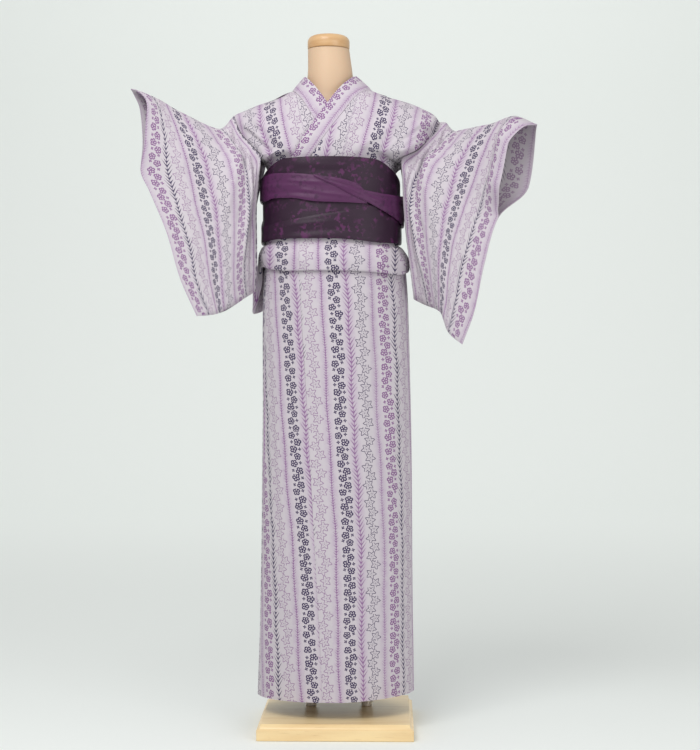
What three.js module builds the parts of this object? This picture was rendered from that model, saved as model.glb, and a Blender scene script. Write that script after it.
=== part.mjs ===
// A cotton yukata robe with its half-width belt, dressed on a limbless torso form that stands on two poles.
// Millimetres. +Z is up, +X is the wearer's left, -Y is the wearer's front, and the origin is the centre of
// the base plate's underside. Each sewn piece of cloth is a wall with two faces and a rim.
import * as THREE from "three";

// ---------- driving dimensions ----------
const CLOTH = 1.2; // cotton wall
const COLLAR_WALL = 2.4; // the collar is folded double
const BELT = 2.0; // belt wall
const SEAM = 0.35; // gap between the edges of two sewn pieces
const HEM_Z = 72; // height of the hem at the front
const SKIRT_TOP_Z = 1040; // where the skirt ends, inside the tucked fold
const FOLD_TOP_Z = 1058; // where the tucked fold goes in under the belt
const MM_PER_DEGREE = 2.5; // of the skirt's round, on average
const UNDER_WRAP = 5; // how far the wearer's right front lies inside the left front
const OVER_WRAP = 6; // how far the upper left front lies outside the upper right front
const BASE = { x: 330, y: 334, z: 34, edge: 22.5, moulding: 8 };
const POLE = { radius: 11.5, x: 61, y: 40, top: 760, shift: 2 };
const POLE_RING = { radius: 16, from: 44, to: 53 };
const CAP = { radius: 46, height: 29, round: 14, x: -19.5, z: 1478 };

// ---------- sections of the dressed body: one row for each height ----------
// cx, cy: centre; a: half-width; front, back: half-depths; power: 2 is an ellipse, more is squarer.
const SKIRT = [
  { z: 60, cx: -4, cy: 3, a: 172, front: 128, back: 123, power: 2 },
  { z: 160, cx: -3, cy: 3, a: 169.5, front: 126, back: 121, power: 2 },
  { z: 273, cx: -2.6, cy: 3, a: 167.2, front: 125, back: 120, power: 2 },
  { z: 645, cx: -1.7, cy: 3, a: 163.5, front: 123, back: 118, power: 2 },
  { z: 863, cx: -4.4, cy: 2, a: 161, front: 122, back: 117, power: 2 },
  { z: 985, cx: -6, cy: 1, a: 156, front: 118, back: 114, power: 2.05 },
  { z: 1045, cx: -13, cy: 0, a: 143, front: 108, back: 106, power: 2.2 },
];
const TORSO = [
  { z: 1050, cx: -13, cy: 0, a: 141, front: 104, back: 102, power: 2.2 },
  { z: 1195, cx: -13, cy: 0, a: 141, front: 104, back: 98, power: 2.2 },
  { z: 1228, cx: -13, cy: 0, a: 143, front: 104, back: 98, power: 2.2 },
  { z: 1245, cx: -13, cy: 0, a: 180, front: 106, back: 98, power: 2.2 },
  { z: 1265, cx: -13, cy: 0, a: 200, front: 107, back: 97, power: 2.2 },
  { z: 1291, cx: -12, cy: 2, a: 218, front: 103, back: 94, power: 2.2 },
  { z: 1316, cx: -9, cy: 4, a: 230, front: 93, back: 85, power: 2.2 },
  { z: 1333, cx: -7, cy: 5, a: 220, front: 84, back: 77, power: 2.2 },
  { z: 1345, cx: -5, cy: 5, a: 197, front: 78, back: 73, power: 2.2 },
  { z: 1358, cx: -4, cy: 5, a: 168, front: 72, back: 69, power: 2.2 },
  { z: 1373, cx: -6, cy: 5, a: 120, front: 66, back: 65, power: 2.2 },
  { z: 1388, cx: -14, cy: 5, a: 92, front: 61, back: 62, power: 2.2 },
  { z: 1420, cx: -16, cy: 5, a: 66, front: 57, back: 62, power: 2.2 },
];
const BELT_BODY = [
  { z: 1040, cx: -13, cy: 0, a: 154, front: 119, back: 117, power: 2.25 },
  { z: 1180, cx: -13, cy: 0, a: 154.5, front: 120, back: 114, power: 2.25 },
  { z: 1235, cx: -13, cy: 0, a: 159, front: 124, back: 117, power: 2.25 },
];
const FORM = [
  { z: 760, cx: -3, cy: 4, a: 128, front: 88, back: 84, power: 2 },
  { z: 775, cx: -3, cy: 4, a: 142, front: 101, back: 97, power: 2 },
  { z: 860, cx: -4, cy: 3, a: 149, front: 109, back: 104, power: 2 },
  { z: 985, cx: -7, cy: 1, a: 136, front: 99, back: 96, power: 2 },
  { z: 1060, cx: -12, cy: 0, a: 126, front: 91, back: 90, power: 2.1 },
  { z: 1180, cx: -13, cy: 0, a: 128, front: 92, back: 87, power: 2.1 },
  { z: 1250, cx: -13, cy: 0, a: 142, front: 95, back: 84, power: 2.1 },
  { z: 1295, cx: -12, cy: 2, a: 152, front: 84, back: 76, power: 2.1 },
  { z: 1322, cx: -11, cy: 4, a: 148, front: 68, back: 64, power: 2.1 },
  { z: 1345, cx: -13, cy: 5, a: 116, front: 55, back: 54, power: 2 },
  { z: 1362, cx: -15, cy: 5, a: 78, front: 47, back: 46, power: 2 },
  { z: 1380, cx: -16, cy: 5, a: 58, front: 44, back: 42, power: 2 },
  { z: 1418, cx: -16, cy: 5, a: 50, front: 44, back: 42, power: 2 },
  { z: 1477.7, cx: -19.5, cy: 5, a: 45.5, front: 43, back: 41, power: 2 },
];

// ---------- sleeves ----------
// Five ribs each; every rib runs from the shoulder fold (down 0) to the bottom fold (down 1).
// across: 0 at the body, 1 at the cuff; gap: distance between the front and the back layer at that place.
const SLEEVE_RIGHT = {
  ribs: [
    {
      across: 0,
      rows: [
        { down: 0, x: -227, y: 5, z: 1334, gap: 60 },
        { down: 0.1, x: -211, y: 3, z: 1293, gap: 84 },
        { down: 0.25, x: -181, y: -4, z: 1256, gap: 116 },
        { down: 0.45, x: -162, y: -10, z: 1227, gap: 120 },
        { down: 0.65, x: -172, y: -18, z: 1113, gap: 76 },
        { down: 0.85, x: -171, y: -22, z: 1010, gap: 64 },
        { down: 1, x: -176, y: -24, z: 948, gap: 40 },
      ],
    },
    {
      across: 0.24,
      rows: [
        { down: 0, x: -258, y: -3, z: 1303, gap: 44 },
        { down: 0.1, x: -230, y: -16, z: 1270, gap: 70 },
        { down: 0.25, x: -200, y: -40, z: 1224, gap: 82 },
        { down: 0.45, x: -189, y: -62, z: 1146, gap: 70 },
        { down: 0.65, x: -194, y: -66, z: 1068, gap: 56 },
        { down: 0.85, x: -198, y: -67, z: 990, gap: 44 },
        { down: 1, x: -195, y: -67, z: 933, gap: 28 },
      ],
    },
    {
      across: 0.56,
      rows: [
        { down: 0, x: -338, y: -52, z: 1333, gap: 40 },
        { down: 0.1, x: -316, y: -63, z: 1290, gap: 52 },
        { down: 0.25, x: -289, y: -76, z: 1221, gap: 54 },
        { down: 0.45, x: -266, y: -88, z: 1134, gap: 46 },
        { down: 0.65, x: -252, y: -96, z: 1048, gap: 38 },
        { down: 0.85, x: -245, y: -102, z: 966, gap: 30 },
        { down: 1, x: -240, y: -106, z: 901, gap: 18 },
      ],
    },
    {
      across: 0.8,
      rows: [
        { down: 0, x: -388, y: -86, z: 1359, gap: 30 },
        { down: 0.1, x: -370, y: -94, z: 1316, gap: 40 },
        { down: 0.25, x: -352, y: -102, z: 1240, gap: 38 },
        { down: 0.45, x: -331, y: -110, z: 1150, gap: 26 },
        { down: 0.65, x: -302, y: -117, z: 1058, gap: 20 },
        { down: 0.85, x: -284, y: -121, z: 968, gap: 15 },
        { down: 1, x: -262, y: -122, z: 893, gap: 10 },
      ],
    },
    {
      across: 1,
      rows: [
        { down: 0, x: -436, y: -112, z: 1373, gap: 26 },
        { down: 0.1, x: -418, y: -118, z: 1330, gap: 34 },
        { down: 0.25, x: -411, y: -124, z: 1252, gap: 24 },
        { down: 0.36, x: -414, y: -127, z: 1200, gap: 8 },
        { down: 0.45, x: -395, y: -130, z: 1157, gap: 2.2 },
        { down: 0.65, x: -356, y: -136, z: 1064, gap: 2.2 },
        { down: 0.85, x: -328, y: -140, z: 970, gap: 2.2 },
        { down: 1, x: -293, y: -136, z: 890, gap: 2.2 },
      ],
    },
  ],
  mouth: [
    { down: 0, inset: 12 },
    { down: 0.06, inset: 22 },
    { down: 0.2, inset: 10 },
    { down: 0.45, inset: 0 },
    { down: 1, inset: 0 },
  ],
  inward: 1,
};
const SLEEVE_LEFT = {
  ribs: [
    {
      across: 0,
      rows: [
        { down: 0, x: 236, y: 5, z: 1318, gap: 56 },
        { down: 0.1, x: 210, y: 3, z: 1285, gap: 84 },
        { down: 0.25, x: 177, y: -4, z: 1250, gap: 116 },
        { down: 0.45, x: 139, y: -10, z: 1221, gap: 118 },
        { down: 0.65, x: 145, y: -18, z: 1104, gap: 76 },
        { down: 0.85, x: 156, y: -22, z: 1008, gap: 64 },
        { down: 1, x: 166, y: -24, z: 930, gap: 40 },
      ],
    },
    {
      across: 0.24,
      rows: [
        { down: 0, x: 260, y: -4, z: 1297, gap: 44 },
        { down: 0.1, x: 229, y: -18, z: 1262, gap: 70 },
        { down: 0.25, x: 186, y: -43, z: 1214, gap: 82 },
        { down: 0.45, x: 166, y: -61, z: 1136, gap: 70 },
        { down: 0.65, x: 174, y: -63, z: 1054, gap: 56 },
        { down: 0.85, x: 189, y: -62, z: 974, gap: 44 },
        { down: 1, x: 200, y: -60, z: 912, gap: 28 },
      ],
    },
    {
      across: 0.56,
      rows: [
        { down: 0, x: 329, y: -62, z: 1304, gap: 42 },
        { down: 0.1, x: 302, y: -75, z: 1264, gap: 54 },
        { down: 0.25, x: 274, y: -88, z: 1198, gap: 56 },
        { down: 0.45, x: 247, y: -100, z: 1121, gap: 46 },
        { down: 0.65, x: 229, y: -106, z: 1044, gap: 38 },
        { down: 0.85, x: 222, y: -108, z: 963, gap: 30 },
        { down: 1, x: 222, y: -106, z: 899, gap: 18 },
      ],
    },
    {
      across: 0.8,
      rows: [
        { down: 0, x: 374, y: -106, z: 1313, gap: 42 },
        { down: 0.1, x: 356, y: -110, z: 1266, gap: 62 },
        { down: 0.25, x: 338, y: -117, z: 1186, gap: 62 },
        { down: 0.45, x: 298, y: -124, z: 1107, gap: 30 },
        { down: 0.65, x: 268, y: -130, z: 1021, gap: 20 },
        { down: 0.85, x: 249, y: -134, z: 930, gap: 15 },
        { down: 1, x: 236, y: -138, z: 858, gap: 10 },
      ],
    },
    {
      across: 1,
      rows: [
        { down: 0, x: 423, y: -148, z: 1289, gap: 46 },
        { down: 0.1, x: 420, y: -150, z: 1240, gap: 76 },
        { down: 0.25, x: 409, y: -150, z: 1164, gap: 84 },
        { down: 0.45, x: 341, y: -150, z: 1093, gap: 4 },
        { down: 0.65, x: 312, y: -156, z: 997, gap: 2.2 },
        { down: 0.85, x: 291, y: -160, z: 898, gap: 2.2 },
        { down: 1, x: 266, y: -156, z: 829, gap: 2.2 },
      ],
    },
  ],
  mouth: [
    { down: 0, inset: 26 },
    { down: 0.1, inset: 62 },
    { down: 0.25, inset: 66 },
    { down: 0.4, inset: 16 },
    { down: 0.45, inset: 0 },
    { down: 1, inset: 0 },
  ],
  inward: -1,
};
const MOUTH_REACH = 0.3; // how much of the sleeve's width the drawn-back cuff edge spreads over
const ARMHOLE_END = 0.45; // how far down a sleeve is sewn to the body
const ARMHOLE_T = 0.6; // the same place, as a level of the body
const ARMHOLE_GAP = 1.6; // between the body's edge and the sleeve's
const NECK_GAP = 1; // between the body's edge and the collar's
const SLEEVE_DOWNS = [
  0, 0.005, 0.02, 0.05, 0.1, 0.17, 0.25, 0.35, 0.45, 0.56, 0.68, 0.8, 0.9, 0.96, 0.985, 0.996, 1,
];
const FOLD_REACH = 0.035; // the top and bottom folds are rounded over this part of the sleeve's drop
const BACK_SPREAD = 12; // the back layer hangs this much further out at the body

// ---------- upper body: levels t run from the shoulder fold (0) to under the belt (1) ----------
// Neck edge. shoulder, chest: where along the collar it starts and stops; endX, endZ: where it ends.
const RIGHT_INNER = { shoulder: 0.42, chest: 0.03, endX: 46, endZ: 1064 };
const LEFT_INNER = { shoulder: 0.64, chest: 0.975, endX: -112, endZ: 1064 };
const NAPE = 0.53; // where along the collar the two back panels meet
// Side edge below the armhole.
const RIGHT_OUTER = [
  { t: 0.6, x: -162, z: 1227 },
  { t: 0.7, x: -151, z: 1206 },
  { t: 1, x: -152.5, z: 1064 },
];
const LEFT_OUTER = [
  { t: 0.6, x: 149, z: 1221 },
  { t: 0.7, x: 125.5, z: 1201 },
  { t: 1, x: 126.5, z: 1064 },
];
const BACK_CENTRE_X = -15;

// ---------- collar: one row for each station, from its hidden end (at 0) to its shown end (at 1) ----------
// ix, iz: the folded inner edge; ox, oz: the sewn outer edge; iy, oy: depths where it leaves the chest;
// side: 0 under the left front, 1 round the neck, 2 over the right front.
const COLLAR = [
  { at: 0, ix: 56, iz: 1222, ox: 15, oz: 1222, side: 0 },
  { at: 0.1, ix: 22, iz: 1284, ox: -16, oz: 1270, side: 0 },
  { at: 0.24, ix: -18, iz: 1348, ox: -52, oz: 1323, side: 0 },
  { at: 0.34, ix: -44, iz: 1385, ox: -77, oz: 1363, side: 0 },
  { at: 0.42, ix: -71, iz: 1416, iy: 0, ox: -98, oz: 1386, oy: 4, side: 1 },
  { at: 0.46, ix: -62, iz: 1413, iy: 50, ox: -83, oz: 1379, oy: 50, side: 1 },
  { at: 0.53, ix: -16, iz: 1408, iy: 86, ox: -16, oz: 1355, oy: 77, side: 1 },
  { at: 0.6, ix: 30, iz: 1413, iy: 50, ox: 57, oz: 1379, oy: 50, side: 1 },
  { at: 0.64, ix: 41, iz: 1417, iy: 0, ox: 74, oz: 1387, oy: 4, side: 1 },
  { at: 0.72, ix: 9, iz: 1386, ox: 44, oz: 1367, side: 2 },
  { at: 0.82, ix: -19, iz: 1349, ox: 12, oz: 1324, side: 2 },
  { at: 0.92, ix: -58, iz: 1289, ox: -23, oz: 1276, side: 2 },
  { at: 1, ix: -104, iz: 1214, ox: -64, oz: 1216, side: 2 },
];

// ---------- tucked fold under the belt ----------
// Its lower edge by angle: 0 is the front and 90 the wearer's left.
const FOLD_EDGE = [
  { angle: -180, z: 992 },
  { angle: -135, z: 985 },
  { angle: -112, z: 905 },
  { angle: -98, z: 900 },
  { angle: -90, z: 985 },
  { angle: -80, z: 1002 },
  { angle: -55, z: 992 },
  { angle: -35, z: 987 },
  { angle: 0, z: 986.5 },
  { angle: 30, z: 984 },
  { angle: 55, z: 980 },
  { angle: 75, z: 986 },
  { angle: 90, z: 994 },
  { angle: 180, z: 992 },
];
// How far its outer layer stands out from the skirt, from the belt (down 0) to the lower edge (down 1).
const FOLD_OUT = [
  { down: 0, out: 0 },
  { down: 0.14, out: 1 },
  { down: 0.3, out: 9.5 },
  { down: 0.6, out: 14 },
  { down: 0.85, out: 11 },
  { down: 1, out: 8 },
];
const FLAP_OUT = 16; // the slack corner behind the wearer's right hip stands this much further out

// ---------- belt edges by angle ----------
const BELT_TOP = [
  { angle: -180, z: 1196 },
  { angle: -95, z: 1188 },
  { angle: -78, z: 1196 },
  { angle: -62, z: 1207 },
  { angle: -35, z: 1227 },
  { angle: 0, z: 1228.5 },
  { angle: 35, z: 1225 },
  { angle: 62, z: 1203 },
  { angle: 80, z: 1189 },
  { angle: 95, z: 1182 },
  { angle: 180, z: 1196 },
];
const BELT_LOW = [
  { angle: -180, z: 1052 },
  { angle: -90, z: 1050 },
  { angle: -45, z: 1056 },
  { angle: 0, z: 1055 },
  { angle: 45, z: 1048 },
  { angle: 90, z: 1050 },
  { angle: 180, z: 1052 },
];
const OUTER_WRAP_TOP = [
  { angle: -180, z: 1180 },
  { angle: -110, z: 1120 },
  { angle: -75, z: 1086 },
  { angle: -30, z: 1096 },
  { angle: 15, z: 1116 },
  { angle: 45, z: 1132 },
  { angle: 90, z: 1140 },
  { angle: 180, z: 1180 },
];
const BAND_RIGHT = [
  { angle: -104, low: 1140, high: 1186 },
  { angle: -80, low: 1142, high: 1189 },
  { angle: -62, low: 1139, high: 1193 },
  { angle: -50, low: 1143, high: 1196 },
  { angle: -30, low: 1142, high: 1194 },
  { angle: -8, low: 1133, high: 1188 },
  { angle: 18, low: 1130, high: 1172 },
  { angle: 28, low: 1129, high: 1152 },
];
const BAND_LEFT = [
  { angle: -10, low: 1186, high: 1190 },
  { angle: 0, low: 1171, high: 1177 },
  { angle: 14, low: 1148, high: 1165 },
  { angle: 26, low: 1134, high: 1157 },
  { angle: 45, low: 1114, high: 1151 },
  { angle: 65, low: 1098, high: 1150 },
  { angle: 85, low: 1087, high: 1153 },
  { angle: 104, low: 1088, high: 1156 },
];
const BOW = { width: 118, drop: 96, thick: 20, top: 1176, y: 122, rise: 14 };
const KNOT = { halfWidth: 26, halfHeight: 30, halfDepth: 17, z: 1140, y: 141 };

// ---------- smooth reading of the tables ----------
function slopes(xs, ys) {
  const n = xs.length;
  const d = [];
  for (let i = 0; i < n - 1; i++) d.push((ys[i + 1] - ys[i]) / (xs[i + 1] - xs[i]));
  const m = [d[0]];
  for (let i = 1; i < n - 1; i++) {
    if (d[i - 1] * d[i] <= 0) {
      m.push(0);
    } else {
      const w1 = 2 * (xs[i + 1] - xs[i]) + (xs[i] - xs[i - 1]);
      const w2 = xs[i + 1] - xs[i] + 2 * (xs[i] - xs[i - 1]);
      m.push((w1 + w2) / (w1 / d[i - 1] + w2 / d[i]));
    }
  }
  m.push(d[n - 2]);
  return m;
}

// A column of a table as a smooth function of another column, with no overshoot between rows.
function curve(rows, by, column) {
  const xs = rows.map((row) => row[by]);
  const ys = rows.map((row) => row[column]);
  const m = slopes(xs, ys);
  return (at) => {
    const x = Math.min(Math.max(at, xs[0]), xs[xs.length - 1]);
    let i = 0;
    while (i < xs.length - 2 && x > xs[i + 1]) i++;
    const h = xs[i + 1] - xs[i];
    const t = (x - xs[i]) / h;
    const t2 = t * t;
    const t3 = t2 * t;
    return (
      (2 * t3 - 3 * t2 + 1) * ys[i] +
      (t3 - 2 * t2 + t) * h * m[i] +
      (3 * t2 - 2 * t3) * ys[i + 1] +
      (t3 - t2) * h * m[i + 1]
    );
  };
}

function curves(rows, by) {
  const columns = Object.keys(rows[0]).filter((name) => name !== by);
  const parts = columns.map((name) => [name, curve(rows, by, name)]);
  return (at) => Object.fromEntries(parts.map(([name, f]) => [name, f(at)]));
}

const lerp = (a, b, t) => a + (b - a) * t;
const clamp = (v, low, high) => Math.min(Math.max(v, low), high);
const smooth = (t) => t * t * (3 - 2 * t);
const radians = (degrees) => (degrees * Math.PI) / 180;
const steps = (n) => Array.from({ length: n + 1 }, (_, i) => i / n);

const skirtAt = curves(SKIRT, "z");
const torsoAt = curves(TORSO, "z");
const beltAt = curves(BELT_BODY, "z");
const formAt = curves(FORM, "z");

// A point on a section at an angle from the front, moved out by a distance.
function onSection(section, degrees, z, out) {
  const s = Math.sin(radians(degrees));
  const c = Math.cos(radians(degrees));
  const e = 2 / section.power;
  const depth = c > 0 ? section.front : section.back;
  const x = section.cx + (section.a + out) * Math.sign(s) * Math.abs(s) ** e;
  const y = section.cy - (depth + out) * Math.sign(c) * Math.abs(c) ** e;
  return new THREE.Vector3(x, y, z);
}

// The depth of the torso's surface at x and z: face is -1 on the front and 1 on the back.
function torsoDepth(x, z, face) {
  const s = torsoAt(z);
  const q = clamp(Math.abs(x - s.cx) / s.a, 0, 1);
  const reach = (1 - q ** s.power) ** (1 / s.power);
  return s.cy + face * (face < 0 ? s.front : s.back) * reach;
}

// The height of the shoulder fold at x.
function shoulderZ(x) {
  let low = 1300;
  let high = 1400;
  for (let i = 0; i < 30; i++) {
    const z = (low + high) / 2;
    const s = torsoAt(z);
    if (Math.abs(x - s.cx) < s.a) low = z;
    else high = z;
  }
  return low;
}

// ---------- solids ----------
function solid(positions, faces) {
  const p = new Float32Array(positions.length * 3);
  positions.forEach((v, i) => p.set([v.x, v.y, v.z], i * 3));
  let volume = 0;
  for (const [a, b, c] of faces) {
    volume += positions[a].dot(new THREE.Vector3().crossVectors(positions[b], positions[c]));
  }
  const index = volume > 0 ? faces.flat() : faces.flatMap(([a, b, c]) => [a, c, b]);
  const geometry = new THREE.BufferGeometry();
  geometry.setAttribute("position", new THREE.BufferAttribute(p, 3));
  geometry.setIndex(index);
  geometry.computeVertexNormals();
  return geometry;
}

// A sheet's points, rows by columns, become a wall with that thickness. A looped sheet closes on itself
// from its last column to its first.
function wall(grid, thickness, looped = false) {
  const rows = grid.length;
  const cols = grid[0].length;
  const at = (i, j) => grid[clamp(i, 0, rows - 1)][looped ? (j + cols) % cols : clamp(j, 0, cols - 1)];
  const outer = [];
  const inner = [];
  for (let i = 0; i < rows; i++) {
    for (let j = 0; j < cols; j++) {
      const along = new THREE.Vector3().subVectors(at(i + 1, j), at(i - 1, j));
      const across = new THREE.Vector3().subVectors(at(i, j + 1), at(i, j - 1));
      const normal = along.cross(across).normalize().multiplyScalar(thickness / 2);
      outer.push(grid[i][j].clone().add(normal));
      inner.push(grid[i][j].clone().sub(normal));
    }
  }
  const half = rows * cols;
  const id = (i, j) => i * cols + (j % cols);
  const faces = [];
  const quad = (a, b, c, d) => faces.push([a, b, c], [a, c, d]);
  const spans = looped ? cols : cols - 1;
  for (let i = 0; i < rows - 1; i++) {
    for (let j = 0; j < spans; j++) {
      quad(id(i, j), id(i, j + 1), id(i + 1, j + 1), id(i + 1, j));
      quad(half + id(i, j), half + id(i + 1, j), half + id(i + 1, j + 1), half + id(i, j + 1));
    }
  }
  for (let j = 0; j < spans; j++) {
    quad(id(0, j), half + id(0, j), half + id(0, j + 1), id(0, j + 1));
    quad(id(rows - 1, j), id(rows - 1, j + 1), half + id(rows - 1, j + 1), half + id(rows - 1, j));
  }
  if (!looped) {
    for (let i = 0; i < rows - 1; i++) {
      quad(id(i, 0), id(i + 1, 0), half + id(i + 1, 0), half + id(i, 0));
      quad(id(i, cols - 1), half + id(i, cols - 1), half + id(i + 1, cols - 1), id(i + 1, cols - 1));
    }
  }
  return solid(outer.concat(inner), faces);
}

// A filled body through closed rings, with a flat cap on each end.
function filled(rings) {
  const n = rings[0].length;
  const points = rings.flat();
  const faces = [];
  for (let i = 0; i < rings.length - 1; i++) {
    for (let j = 0; j < n; j++) {
      const k = (j + 1) % n;
      faces.push([i * n + j, i * n + k, (i + 1) * n + k], [i * n + j, (i + 1) * n + k, (i + 1) * n + j]);
    }
  }
  const last = (rings.length - 1) * n;
  for (const [ring, start] of [[rings[0], 0], [rings[rings.length - 1], last]]) {
    const centre = ring.reduce((sum, p) => sum.add(p), new THREE.Vector3()).divideScalar(n);
    points.push(centre);
    const c = points.length - 1;
    for (let j = 0; j < n; j++) {
      const k = (j + 1) % n;
      faces.push(start === 0 ? [c, k, j] : [c, start + j, start + k]);
    }
  }
  return solid(points, faces);
}

const group = new THREE.Group();
const cotton = { color: 0xe4d9e6, roughness: 0.9, metalness: 0 };
const satin = { color: 0x43274a, roughness: 0.55, metalness: 0 };
const bright = { color: 0x6d3470, roughness: 0.5, metalness: 0 };
const skin = { color: 0xe0c3a0, roughness: 0.7, metalness: 0 };
const wood = { color: 0xe2c39a, roughness: 0.35, metalness: 0 };
const metal = { color: 0xb9b3a8, roughness: 0.3, metalness: 0.9 };

function add(name, geometry, look) {
  const mesh = new THREE.Mesh(geometry, new THREE.MeshStandardMaterial(look));
  mesh.name = name;
  group.add(mesh);
}

// ---------- skirt ----------
// The wrap runs as one spiral: from its hidden front edge inside, round the back, to the shown edge outside.
function wrapInset(turn) {
  return UNDER_WRAP * smooth(clamp((turn + 105) / 50, 0, 1));
}

// turn: the angle along the wrap, 100 at the hidden edge and -430 at the shown one.
function skirtPoint(turn, z) {
  return onSection(skirtAt(z), turn, z, -CLOTH / 2 - wrapInset(turn));
}

// How high the hem is at an angle along the wrap.
function hemZ(turn) {
  const angle = radians(turn);
  const lift = 6 * smooth(clamp(Math.sin(angle), 0, 1)) - 2 * smooth(clamp(-Math.sin(angle), 0, 1));
  return HEM_Z + lift + (turn > -200 ? UNDER_WRAP : 0);
}

// from, to: the panel's two edges as functions of how far up the skirt they are.
function skirtPanel(name, from, to, columns) {
  const heights = [0, 0.04, 0.2, 0.4, 0.62, 0.85, 1];
  const margin = SEAM / 2 / MM_PER_DEGREE;
  const grid = heights.map((up) =>
    steps(columns).map((s) => {
      const turn = lerp(from(up) - margin, to(up) + margin, s);
      return skirtPoint(turn, lerp(hemZ(turn), SKIRT_TOP_Z, up));
    }),
  );
  add(name, wall(grid, CLOTH), cotton);
}

// The seam of the narrow outer panel, and the shown edge of the wrap.
const okumiSeam = (up) => -360 - lerp(8, 28.8, up);
const shownEdge = (up) => -360 - lerp(84, 71, clamp(up / 0.55, 0, 1));
skirtPanel("skirt_okumi_right", () => 98, () => 42, 7);
skirtPanel("skirt_front_right", () => 42, () => -50, 11);
skirtPanel("skirt_back_right", () => -50, () => -180, 15);
skirtPanel("skirt_back_left", () => -180, () => -272, 11);
skirtPanel("skirt_front_left", () => -272, okumiSeam, 12);
skirtPanel("skirt_okumi_left", okumiSeam, shownEdge, 8);

// ---------- collar ----------
const collarAt = curves(COLLAR.map(({ at, ix, iz, ox, oz }) => ({ at, ix, iz, ox, oz })), "at");
const collarDepth = curves(
  COLLAR.map((row) => ({
    at: row.at,
    iy: row.iy ?? torsoDepth(row.ix, row.iz, -1),
    oy: row.oy ?? torsoDepth(row.ox, row.oz, -1),
    lift: row.side === 2 ? OVER_WRAP : 0,
    neck: row.side === 1 ? 1 : 0,
  })),
  "at",
);

// along: 0 at the hidden end, 1 at the shown end; across: 0 at the folded edge, 1 at the sewn edge.
// It lies on the chest at both ends and stands free round the neck.
function collarPoint(along, across) {
  const row = collarAt(along);
  const depth = collarDepth(along);
  const x = lerp(row.ix, row.ox, across);
  const z = lerp(row.iz, row.oz, across);
  const y = lerp(torsoDepth(x, z, -1), lerp(depth.iy, depth.oy, across), depth.neck) - depth.lift;
  return new THREE.Vector3(x, y, z);
}

function collarPiece() {
  const sewn = BODY_LEVELS.filter((t) => t <= CHEST_T).flatMap((t) => [
    alongCollar(RIGHT_INNER, t, -1),
    alongCollar(RIGHT_INNER, t, 1),
    alongCollar(LEFT_INNER, t, -1),
    alongCollar(LEFT_INNER, t, 1),
  ]);
  const stations = [0, ...sewn, 1].sort((a, b) => a - b);
  const spaced = stations.filter((at, i) => i === 0 || at - stations[i - 1] > NEAREST_STATIONS);
  add("collar", wall(spaced.map((at) => steps(2).map((s) => collarPoint(at, s))), COLLAR_WALL), cotton);
}

// ---------- upper body ----------
// One length of cloth on each side, from the front over the shoulder to the back.
// The front edge follows the collar's sewn edge down the chest and then runs on under the belt.
const CHEST_T = 0.7; // where the body's front edge leaves the collar
const NEAREST_STATIONS = 0.0012; // the collar's cross-sections are further apart than this
const NAPE_T = 0.38; // where the back neck ends and the centre back seam starts
const armholeDowns = SLEEVE_DOWNS.filter((down) => down <= ARMHOLE_END);
const joinedLevels = armholeDowns.map((down) => (down / ARMHOLE_END) * ARMHOLE_T);
const BODY_LEVELS = [...joinedLevels, CHEST_T, 0.85, 1];

// Where the body's neck edge is along the collar, at a level and on one face.
function alongCollar(inner, t, face) {
  if (face < 0) return lerp(inner.shoulder, inner.chest, clamp(t / CHEST_T, 0, 1));
  return lerp(inner.shoulder, NAPE, clamp(t / NAPE_T, 0, 1));
}

function bodyStart(inner, outward, t, face) {
  const along = alongCollar(inner, t, face);
  const sewn = collarPoint(along, 1);
  const away = sewn.clone().sub(collarPoint(along, 0)).setLength(NECK_GAP);
  const start = sewn.add(away);
  if (face < 0 && t > CHEST_T) {
    const u = (t - CHEST_T) / (1 - CHEST_T);
    start.set(lerp(start.x, inner.endX, u), start.y, lerp(start.z, inner.endZ, u));
  }
  if (face > 0 && t > NAPE_T) start.z = lerp(start.z, inner.endZ, (t - NAPE_T) / (1 - NAPE_T));
  if (face > 0) start.x = outward * Math.max(outward * (start.x - BACK_CENTRE_X), SEAM / 2) + BACK_CENTRE_X;
  return start;
}

function bodyPanel(name, sleeve, inner, outer, over) {
  const outward = -sleeve.inward;
  const outerAt = curves(outer, "t");
  const neckZ = bodyStart(inner, outward, 0, -1).z;
  const row = (t, face) => {
    const start = bodyStart(inner, outward, t, face);
    const joined = t <= ARMHOLE_T;
    const down = (t / ARMHOLE_T) * ARMHOLE_END;
    const edge = joined ? sleevePoint(sleeve, 0, down, face) : outerAt(t);
    if (joined) edge.add(edge.clone().sub(sleevePoint(sleeve, 0.08, down, face)).setLength(ARMHOLE_GAP));
    const meetEdge = joined ? edge.y - torsoDepth(edge.x, edge.z, face) : 0;
    const meetNeck = t <= (face < 0 ? CHEST_T : NAPE_T) ? start.y - torsoDepth(start.x, start.z, face) : 0;
    const lift = face < 0 && t > CHEST_T ? over : 0;
    return steps(8).map((s) => {
      const even = lerp(s, Math.sin((s * Math.PI) / 2), 0.6 * clamp((t - 0.4) / 0.3, 0, 1));
      const x = lerp(start.x, edge.x, even);
      const crown = shoulderZ(x) - lerp(neckZ, sleeve.ribs[0].rows[0].z, even);
      const z = lerp(start.z, edge.z, even) + crown * s * (1 - s) * 4 * (1 - clamp(t / 0.35, 0, 1)) ** 2;
      const fade = 1 - s ** 3;
      return new THREE.Vector3(x, torsoDepth(x, z, face) + (meetNeck - lift) * fade + meetEdge * s ** 5, z);
    });
  };
  const front = [...BODY_LEVELS].reverse().slice(0, -1).map((t) => row(t, -1));
  const shoulder = row(0, -1);
  const back = BODY_LEVELS.slice(1).map((t) => row(t, 1));
  add(name, wall([...front, shoulder, ...back], CLOTH), cotton);
}

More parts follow.
